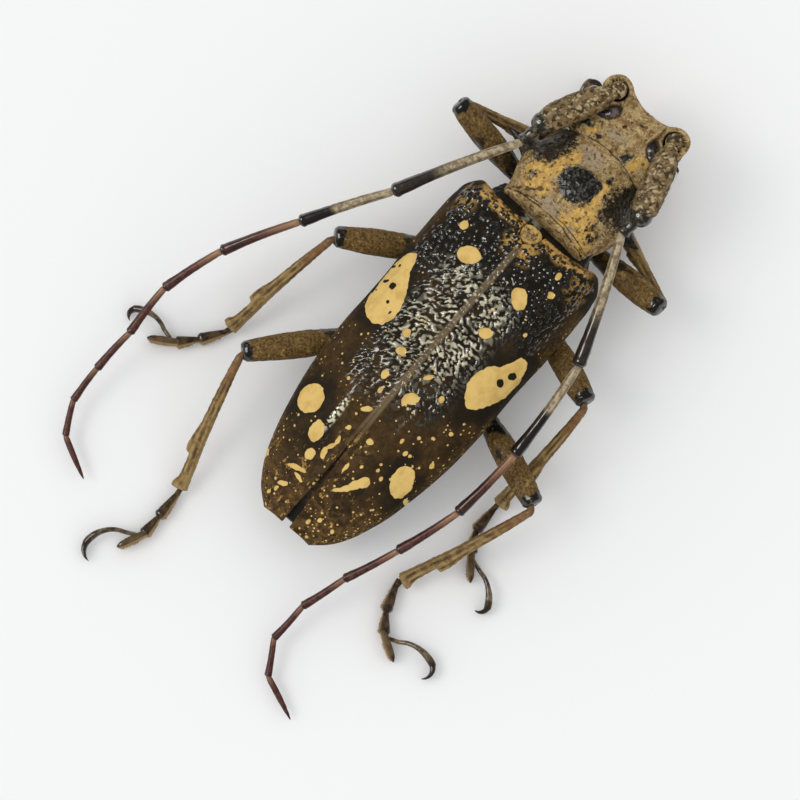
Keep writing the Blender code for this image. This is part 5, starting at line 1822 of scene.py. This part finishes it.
@dataclass
class Legs(Assembly):
    """The six legs: thigh, shin, foot with three pads, and claw joint with two claws."""

    poses: tuple = (
        LegPose(Pair.FORE, Side.LEFT, (1.5, -10.1, 1.65), (10.08, -11.23, 5.9), (5.1, -13.8, 1.0),
            (4.75, -14.15, 0.0), (-102.0, -105.0, -98.0), (-50.0, -105.0), -95.0, 0.78, 0.25),
        LegPose(Pair.FORE, Side.RIGHT, (-1.5, -10.1, 1.65), (-10.0, -9.3, 5.9), (-4.5, -12.65, 1.0),
            (-4.25, -13.1, 0.0), (-95.0, -92.0, -95.0), (-42.0, -105.0), -105.0, 0.78, -0.25),
        LegPose(Pair.MID, Side.LEFT, (2.3, -4.3, 1.7), (10.6, 1.62, 5.25), (12.65, 11.25, 1.0),
            (12.75, 11.65, 0.0), (56.0, 48.0, 32.0), (-40.0, 35.0), 120.0, 1.0, 1.0),
        LegPose(Pair.MID, Side.RIGHT, (-2.3, -4.3, 1.7), (-10.3, -0.95, 5.25), (-10.35, 8.3, 1.0),
            (-10.3, 8.75, 0.0), (92.0, 119.0, 129.0), (180.0, 118.0), -110.0, 1.0, -1.0),
        LegPose(Pair.HIND, Side.LEFT, (2.7, 3.1, 1.55), (10.2, 12.1, 5.05), (7.75, 22.4, 1.0),
            (7.7, 22.9, 0.0), (92.0, 90.0, 66.5), (5.0, 88.0), 84.0, 1.0, 1.0),
        LegPose(Pair.HIND, Side.RIGHT, (-2.7, 3.1, 1.55), (-12.16, 7.0, 5.05), (-8.65, 17.0, 1.0),
            (-8.5, 17.5, 0.0), (110.0, 126.0, 150.0), (230.0, 158.0), -112.0, 1.0, -1.0),
    )
    thigh_shape: tuple = ((0.0, 0.4), (0.06, 0.5), (0.28, 0.78), (0.5, 0.96), (0.7, 0.96), (0.86, 0.86),
            (0.95, 0.78), (0.98, 0.74), (1.0, 0.56))
    shin_shapes: dict = field(default_factory=lambda: {
        Pair.FORE: ((0.0, 0.0, 0.3), (0.15, 0.1, 0.34), (0.5, 0.2, 0.42), (0.8, 0.12, 0.52), (1.0, 0.0, 0.55)),
        Pair.MID: ((0.0, 0.0, 0.3), (0.12, 0.06, 0.33), (0.4, 0.14, 0.39), (0.66, 0.14, 0.43), (0.76, 0.06, 0.4),
            (0.87, 0.04, 0.42), (1.0, 0.04, 0.5)),
    })
    shin_starts: dict = field(default_factory=lambda: {Pair.FORE: (-0.25, 0.65), Pair.MID: (0.62, 0.6)})
    knee_reach: float = 0.35
    root_darks: dict = field(default_factory=lambda: {Pair.FORE: 0.5, Pair.MID: 0.3, Pair.HIND: 0.42})
    cap_length: float = 0.52
    foot_lengths: tuple = (2.15, 1.65, 2.1)
    pad_rows: tuple = ((-0.18, 0.12, 0.42, 0.68), (0.0, 0.2, 0.32, 0.8), (0.35, 0.3, 0.14, 1.0),
            (0.75, 0.4, 0.0, 1.1), (0.93, 0.42, 0.0, 1.1), (1.0, 0.3, 0.12, 0.98))
    lobe_rows: tuple = ((-0.12, 0.22, -0.2, 0.2), (0.25, 0.28, -0.24, 0.26), (0.6, 0.27, -0.24, 0.26),
            (0.88, 0.19, -0.2, 0.22), (1.0, 0.05, -0.08, 0.08))
    claw_joint_sizes: tuple = ((0.0, 0.13), (0.15, 0.15), (0.55, 0.19), (0.85, 0.27), (1.0, 0.26))
    hip_reach: float = 1.7
    lobe_tan: float = 0.18
    lobe_heights: tuple = (0.26, 0.94)
    pad_fullness: float = 2.8
    neck_reach: float = 0.3
    neck_height: float = 0.52
    neck_radius: float = 0.2
    claw_joint_lengths: dict = field(default_factory=lambda: {Pair.FORE: 1.6, Pair.MID: 3.0, Pair.HIND: 3.3})
    claw_lengths: dict = field(default_factory=lambda: {Pair.FORE: 1.15, Pair.MID: 1.1, Pair.HIND: 1.5})
    hair_length: float = 0.15
    hair_radius: float = 0.018
    hair_patch: float = 0.003
    sole_hairs: int = 90
    shin_hairs: int = 160

    def shin_kind(self, pose: LegPose) -> Pair:
        """Tell which shin shape a leg has."""
        return Pair.FORE if pose.pair is Pair.FORE else Pair.MID

    def hip_of(self, pose: LegPose) -> Array:
        """Give where the leg's hip lies."""
        hip = np.array(pose.hip)
        return on_thorax(hip) if pose.pair is Pair.FORE else hip

    def draw_thigh(self, pose: LegPose) -> Skin:
        """Draw the thigh, club-shaped towards a black shiny knee.

        Args:
            pose: The pose to follow.

        Returns:
            The skin.
        """
        hip, knee = self.hip_of(pose), np.array(pose.knee)
        way = unit(knee - hip)
        start, end = hip + way * 0.7, knee + way * self.knee_reach
        share = np.concatenate((np.linspace(0, 0.85, 70)[:-1], np.linspace(0.85, 1.0, 22)))
        solid_start = np.linalg.norm(hip + way * self.hip_reach - start) / np.linalg.norm(end - start)
        radius = curve_through(self.thigh_shape, (share - solid_start) / (1 - solid_start))[:, 0]
        path = start + (end - start) * share[:, None]
        rings = tube(path, np.stack((radius, radius * 1.02), 1), 56)
        angles = ring_angles(56)
        notch = 0.16 * hump(share, 0.985, 0.03)[:, None] * held(-np.sin(angles))[None, :]
        relief = 0.03 * cloud(rings, 0.35, 51) + 0.03 * cloud(rings, 1.3, 52) - notch
        rings = pushed(rings, relief)
        left = (1 - share)[:, None] * np.linalg.norm(end - start) + 0.35 * cloud(rings, 0.4, 54)
        knee_black = soft(left, self.cap_length + 0.12, self.cap_length)
        root_black = soft(share[:, None] + 0.5 * cloud(rings, (0.9, 0.9, 0.9), 55),
                self.root_darks[pose.pair] + 0.04,
                self.root_darks[pose.pair] - 0.04)
        patch = soft(cloud(rings, 1.0, 53), 0.05, 0.2) * soft(share, 0.55, 0.3)[:, None]
        bare = held(knee_black + 0.8 * root_black + 0.5 * patch)
        return ring_skin(rings, {"bare": bare})

    def shin_line(self, pose: LegPose, count: int) -> tuple[Array, Array, Array]:
        """Give the shin's middle line, its radii and its outward direction.

        Args:
            pose: The leg's pose.
            count: How many points.

        Returns:
            The line, the radii and the outward direction.
        """
        kind = self.shin_kind(pose)
        hip, knee, ankle = self.hip_of(pose), np.array(pose.knee), np.array(pose.ankle)
        way = unit(knee - hip)
        down = unit(ankle - knee)
        aside = unit(down - way * down.dot(way))
        forward, sideways = self.shin_starts[kind]
        start = knee + way * forward + aside * sideways
        run = ankle - start
        outer = unit(np.cross(run, (0, 0, 1))) * pose.bow
        share = np.linspace(0, 1, count)
        bulge, radius = curve_through(self.shin_shapes[kind], share).T
        line = start + run * share[:, None] + outer * bulge[:, None]
        hook = knee + way * 0.12 + aside * 0.2
        lead = smooth_path((hook, hook * 0.45 + line[0] * 0.55 + way * 0.12, line[0], line[3]), 24)[:17]
        radii = np.concatenate((np.linspace(0.26, 0.3, len(lead)), radius))
        return np.concatenate((lead[:-1], line)), np.delete(radii, len(lead) - 1), outer

    def draw_shin(self, pose: LegPose) -> Skin:
        """Draw the shin with its long ridges and, behind the front pair, the tooth on its outer side.

        Args:
            pose: The pose to follow.

        Returns:
            The skin.
        """
        line, radius, _ = self.shin_line(pose, 110)
        rings = tube(line, np.stack((radius, radius * 0.9), 1), 48)
        angles = ring_angles(48)
        share = held((np.arange(len(line)) - len(line) + 110) / 109)
        ridges = np.cos(6 * angles)[None, :] * soft(share, 0.05, 0.3)[:, None]
        rough = cloud(rings, (0.25, 0.25, 0.25), 61)
        rings = pushed(rings, 0.03 * ridges + 0.035 * rough)
        facing = np.cos(angles)[None, :] * math.copysign(1.0, pose.bow)
        outer_side = held(facing)
        swell = soft(share, 0.5, 0.71) * soft(share, 0.75, 0.725)
        tooth = soft(share, 0.92, 0.985)
        strong = 0.12 if pose.pair is Pair.FORE else 0.3
        edge = (strong * swell + 0.22 * tooth)[:, None] * outer_side ** 1.5
        rings = pushed(rings, edge)
        ridge = soft(ridges, 0.5, 0.95) * soft(cloud(rings, 0.7, 63), -0.3, 0.1) * 0.6
        inner = 0.5 * soft(facing, -0.55, -0.9) * soft(share, 0.3, 0.6)[:, None]
        fuzz = 0.6 * soft(facing, 0.3, 0.8) * (soft(share, 0.7, 0.74) * soft(share, 0.8, 0.76))[:, None]
        ridge = np.maximum(ridge, np.maximum(inner, fuzz))
        ridge = np.maximum(ridge, soft(share, 0.95, 0.99)[:, None] * 0.4)
        shin = np.full(ridge.shape, 0.8 if pose.pair is Pair.FORE else 0.9)
        bare = soft(share, 0.02, 0.0)[:, None] * np.ones(48) * 0.25
        ruddy = 0.5 * soft(share, 0.4, 0.1)[:, None] * np.ones(48)
        groove = soft(ridges, 0.0, -0.7) * soft(cloud(rings, 0.8, 62), 0.25, -0.2)
        return ring_skin(rings, {"shin": shin, "ridge": ridge, "bare": bare, "ruddy": ruddy, "groove": groove})

    def foot_points(self, pose: LegPose) -> list[Array]:
        """Give where each of the three pads starts, and where the last one ends.

        Args:
            pose: The pose to follow.

        Returns:
            Four points.
        """
        point = np.array(pose.foot_start)
        points = [point]
        for length, heading in zip(self.foot_lengths, pose.foot_headings):
            point = point + heading_vector(heading) * (length * pose.scale)
            points.append(point)
        return points

    def draw_slab(self, start: Array, heading: float, length: float, rows: tuple, sole: float) -> Skin:
        """Draw one rounded pad that stands on its side.

        Args:
            start: Where the pad's root lies on the floor.
            heading: Which way it points.
            length: How long it is.
            rows: Rows of share of the length, half width, bottom and top.
            sole: Plus or minus 1 for the side on which its sole lies.

        Returns:
            The skin.
        """
        way = heading_vector(heading)
        drawn = curve_through(rows, np.linspace(rows[0][0], rows[-1][0], 34))
        share = np.linspace(rows[0][0], rows[-1][0], 34)
        middle = start + way * (share * length)[:, None]
        low, high = np.maximum(drawn[:, 1], 0.0 if start[2] == 0 else -9), drawn[:, 2]
        middle[:, 2] = start[2] + (low + high) / 2
        columns = 36
        angles = ring_angles(columns)
        across, upward = power_arc(angles, self.pad_fullness)
        side = np.array((-way[1], way[0], 0.0))
        rings = middle[:, None, :] + side * (drawn[:, 0:1] * across)[..., None]
        rings[..., 2] += ((high - low) / 2)[:, None] * upward
        facing = across[None, :] * sole + 0 * share[:, None]
        values = {"sole": soft(facing, 0.55, 0.85),
                "bare": soft(share, 0.7, 0.85)[:, None] * soft(facing, 0.5, -0.2)}
        return ring_skin(rings, values)

    def sole_side(self, pose: LegPose) -> float:
        """Tell on which side of a foot its sole lies."""
        return math.copysign(1.0, pose.claw_turn)

    def draw_foot(self, pose: LegPose) -> Skin:
        """Draw the foot's three pads, the last one split in two lobes.

        Args:
            pose: The pose to follow.

        Returns:
            The skin.
        """
        points = self.foot_points(pose)
        sole = self.sole_side(pose)
        ankle = np.array(pose.ankle)
        root = points[0] + heading_vector(pose.foot_headings[0]) * self.neck_reach + (0, 0, self.neck_height)
        neck = ankle + (root - ankle) * np.linspace(-0.15, 1.0, 14)[:, None]
        skin = ring_skin(tube(neck, np.full((14, 2), self.neck_radius), 20), {})
        for index in range(2):
            length = self.foot_lengths[index] * pose.scale
            skin.add(self.draw_slab(points[index], pose.foot_headings[index], length, self.pad_rows, sole))
        length = self.foot_lengths[2] * pose.scale
        for height in self.lobe_heights:
            root = points[2] + np.array((0, 0, height))
            lobe = self.draw_slab(root, pose.foot_headings[2], length, self.lobe_rows, sole)
            lobe.values["sole"] = np.maximum(lobe.values["sole"], self.lobe_tan)
            skin.add(lobe)
        heel = ((-0.2, 0.16, 0.35, 0.8), (0.0, 0.26, 0.15, 1.05), (0.16, 0.26, 0.15, 1.05), (0.26, 0.12, 0.4, 0.8))
        return skin.add(self.draw_slab(points[2], pose.foot_headings[2], length, heel, sole))

    def claw_line(self, pose: LegPose, count: int) -> Array:
        """Follow the long bent claw joint from between the lobes to its end.

        Args:
            pose: The pose to follow.
            count: How many points.

        Returns:
            The line's points.
        """
        first, last = pose.claw_headings
        root = self.foot_points(pose)[2] + heading_vector(pose.foot_headings[2]) * (0.2 * pose.scale)
        base = self.foot_points(pose)[2] + heading_vector(pose.foot_headings[2]) * (0.72 * pose.scale)
        point = base + heading_vector(first) * 0.85 + np.array((0, 0, 0.6))
        length = self.claw_joint_lengths[pose.pair]
        corners = [root + np.array((0, 0, 0.6)), root * 0.5 + (point - (0, 0, 0.6)) * 0.5 + (0, 0, 0.62), point]
        for share in np.linspace(0, 1, 7)[1:]:
            point = point + heading_vector(first + (last - first) * share ** 0.8) * (length / 6)
            corners.append(point + np.array((0, 0, 0.35 * math.sin(math.pi * share))))
        return smooth_path(corners, count)

    def draw_claws(self, pose: LegPose) -> Skin:
        """Draw the claw joint and its two claws.

        Args:
            pose: The pose to follow.

        Returns:
            The skin.
        """
        line = self.claw_line(pose, 60)
        share = np.linspace(0, 1, 60)
        radius = curve_through(self.claw_joint_sizes, share)[:, 0] * rounded(60, 0.02, 0.05)
        olive = (1 - soft(share, 0.78, 0.95))[:, None] * np.ones(24)
        skin = ring_skin(tube(line, even(radius), 24), {"olive": olive, "bare": 1 - olive})
        heading = pose.claw_headings[1]
        stride = self.claw_lengths[pose.pair] / 6
        for lean in (-1, 1):
            flat = line[-1] - heading_vector(heading) * 0.25
            corners = [flat + np.array((0, 0, 0.1 * lean))]
            for step in np.linspace(0, 1, 7)[1:]:
                flat = flat + heading_vector(heading + pose.claw_turn * step) * stride
                corners.append(flat + np.array((0, 0, lean * (0.12 + 0.18 * math.sin(0.5 * math.pi * step)))))
            path = smooth_path(corners, 36)
            taper = 0.21 * (1 - np.linspace(0, 1, 36) ** 1.4) + 0.015
            skin.add(ring_skin(tube(path, np.stack((taper, taper * 0.8), 1), 14), {"bare": np.ones((36, 14))}))
        return skin

    def draw_hairs(self, pose: LegPose, seed: int) -> Skin:
        """Draw the short stiff hairs of the soles and of the shin's end.

        Args:
            pose: The leg's pose.
            seed: Which random draw to use.

        Returns:
            The skin, with each hair's patch of the bake map.
        """
        draw = np.random.default_rng(seed)
        roots = []
        points = self.foot_points(pose)
        sole = self.sole_side(pose)
        for index, length in enumerate(self.foot_lengths):
            way = heading_vector(pose.foot_headings[index])
            side = np.array((-way[1], way[0], 0.0)) * sole
            for hair in range(self.sole_hairs):
                share, rise = draw.uniform(0.25, 0.92), draw.uniform(-0.85, 0.85)
                half, low, high = curve_through(self.pad_rows if index < 2 else self.lobe_rows, np.array([share]))[0]
                lift = 0.0 if index < 2 else self.lobe_heights[hair % 2]
                height = lift + (low + high) / 2 + rise * (high - low) / 2
                width = 0.95 * half * (1 - abs(rise) ** self.pad_fullness) ** (1 / self.pad_fullness)
                root = points[index] + way * (share * length * pose.scale) + side * width + (0, 0, height)
                roots.append((root, unit(side + way * draw.uniform(0.1, 0.8) + (0, 0, draw.uniform(-0.3, 0.3))),
                        (share, 0.5 + 0.5 * rise)))
        line, radius, _ = self.shin_line(pose, 40)
        for _ in range(self.shin_hairs):
            share = draw.uniform(0.55, 1.0) ** 0.6
            spot = int(share * (len(line) - 1))
            along = unit(line[spot] - line[spot - 2])
            across = unit(np.cross(along, (0, 0, 1)))
            angle = draw.uniform(0, 2 * math.pi)
            out = across * math.cos(angle) + np.cross(across, along) * math.sin(angle)
            root = line[spot] + out * radius[spot] * 0.9
            roots.append((root, unit(out * 0.8 + along * 0.9), (share, angle / 6.3)))
        skin = Skin()
        for root, way, patch in roots:
            length = self.hair_length * draw.uniform(0.6, 1.1)
            across = unit(np.cross(way, (0.3, 0.2, 0.9)))
            up = np.cross(way, across)
            spokes = [across * math.cos(turn) + up * math.sin(turn) for turn in (0.0, 2.1, 4.2)]
            base = [root + self.hair_radius * spoke for spoke in spokes]
            corners = np.array(base + [root + way * length])
            corners[:, 2] = np.maximum(corners[:, 2], 0.01)
            hair = Skin(corners, [(0, 1, 3), (1, 2, 3), (2, 0, 3), (0, 2, 1)])
            u, v = patch
            hair.tufts = [(u + self.hair_patch * corner[0], v + self.hair_patch * corner[1]) for corner in ((0, 0),
                    (1, 0),
                    (0, 1),
                    (1, 1))]
            skin.add(hair)
        return skin

    def make(self) -> None:
        """Build the six legs."""
        for number, pose in enumerate(self.poses):
            stem = pose.pair.value + "_" + pose.side.word
            node = "leg_" + stem
            for word, draw, finish, solid in (
                    ("thigh_", self.draw_thigh, "leg", "_femur"), ("shin_", self.draw_shin, "leg", "_tibia"),
                    ("foot_", self.draw_foot, "foot", "_tarsus"), ("claws_", self.draw_claws, "foot", "_claws")):
                self.settle(draw(pose), word + stem, finish, finish, (node + solid,))
            self.settle(self.draw_hairs(pose, 70 + number), "hairs_" + stem, "hair", "foot")


@dataclass(frozen=True)
class Studio:
    """A plain pale floor, soft light and the camera at the photo's viewing angle."""

    elevation: float = 83.0
    head_turn: float = 40.7
    distance: float = 240.0
    pixels_per_mm: float = 14.0
    picture: float = 800.0
    sensor: float = 36.0
    target: tuple = (-0.29, 7.55, 4.0)
    key_way: tuple = (0.5, 0.36, 0.79)
    clip: tuple = (0.01, 5.0)
    floor_size: float = 3.0
    floor_colour: tuple = (240, 242, 246)
    sky: float = 0.95
    sky_colour: tuple = (1.0, 0.99, 0.965, 1.0)
    mirrored_sky: float = 0.13
    light_distance: float = 1400.0
    key_size: float = 640.0
    glint_size: float = 800.0
    key_power: float = 2.8
    glint_power: float = 20.0
    light_colour: tuple = (1.0, 0.965, 0.89)

    def axes(self) -> tuple[Array, Array, Array]:
        """Give the picture's right, its up and the way back to the camera.

        Returns:
            Three directions.
        """
        turn = math.radians(-90 + self.head_turn)
        level = np.array((math.cos(turn), math.sin(turn), 0.0))
        right = np.array((math.sin(turn), -math.cos(turn), 0.0))
        rise = math.radians(self.elevation)
        upright = np.array((0.0, 0.0, 1.0))
        back = -level * math.cos(rise) + upright * math.sin(rise)
        return right, level * math.sin(rise) + upright * math.cos(rise), back

    def make_camera(self) -> None:
        """Set up the camera."""
        right, up, back = self.axes()
        data = bpy.data.cameras.new("camera")
        data.sensor_width = self.sensor
        data.lens = self.pixels_per_mm * self.distance / self.picture * self.sensor
        data.clip_start, data.clip_end = self.clip
        camera = bpy.data.objects.new("camera", data)
        turn = Matrix((right, up, back)).transposed().to_4x4()
        place = (np.array(self.target) + SHIFT + back * self.distance) * MM
        camera.matrix_world = Matrix.Translation(Vector(place.tolist())) @ turn
        bpy.context.scene.collection.objects.link(camera)
        bpy.context.scene.camera = camera

    def make_light(self, name: str, size: float, power: float) -> bpy.types.Object:
        """Set up one soft light that looks at the beetle.

        Args:
            name: The light's name.
            size: How wide, in millimetres.
            power: Its power in watts.

        Returns:
            The light.
        """
        data = bpy.data.lights.new(name, "AREA")
        data.shape = "DISK"
        data.size = size * MM
        data.energy = power
        data.color = self.light_colour
        light = bpy.data.objects.new(name, data)
        out = Vector(unit(self.key_way).tolist())
        light.location = out * self.light_distance * MM
        light.rotation_euler = out.to_track_quat("Z", "Y").to_euler()
        bpy.context.scene.collection.objects.link(light)
        return light

    def make_floor(self) -> None:
        """Lay the plain pale floor."""
        bpy.ops.object.select_all(action="DESELECT")
        bpy.ops.mesh.primitive_plane_add(size=self.floor_size, location=(0, 0, 0))
        floor = bpy.context.object
        floor.name = "floor"
        material = bpy.data.materials.new("floor_pale")
        material.use_nodes = True
        shader = material.node_tree.nodes["Principled BSDF"]
        shader.inputs["Base Color"].default_value = srgb(self.floor_colour)
        shader.inputs["Roughness"].default_value = 0.9
        floor.data.materials.append(material)

    def make_view(self) -> None:
        """Show colours plainly, without the softening of a film look."""
        bpy.context.scene.view_settings.view_transform = "Standard"

    def make_sky(self) -> None:
        """Light everything evenly from all round, with less of it mirrored in shiny surfaces."""
        world = bpy.data.worlds.new("studio")
        world.use_nodes = True
        nodes = Nodes(world.node_tree)
        mirrored = nodes.add("ShaderNodeLightPath").outputs["Is Glossy Ray"]
        strength = nodes.less(self.sky, nodes.times(mirrored, self.sky - self.mirrored_sky))
        background = world.node_tree.nodes["Background"]
        background.inputs["Color"].default_value = self.sky_colour
        world.node_tree.links.new(strength, background.inputs["Strength"])
        bpy.context.scene.world = world

    def make(self) -> None:
        """Set up the whole studio."""
        self.make_floor()
        self.make_view()
        self.make_sky()
        self.make_light("key_light", self.key_size, self.key_power)
        glint = self.make_light("glint_light", self.glint_size, self.glint_power)
        glint.visible_diffuse = False
        self.make_camera()
        LOG.info("studio ready")


def main() -> None:
    """Build every part of the beetle and the studio round it."""
    finishes = make_finishes()
    wing_cases = WingCases(finishes)
    wing_cases.make()
    Thorax(finishes).make()
    Trunk(finishes, wing_cases).make()
    head = Head(finishes)
    head.make()
    Feelers(finishes, head).make()
    Legs(finishes).make()
    Studio().make()


if __name__ == "__main__":
    logging.basicConfig(level=logging.INFO, format="%(message)s")
    main()
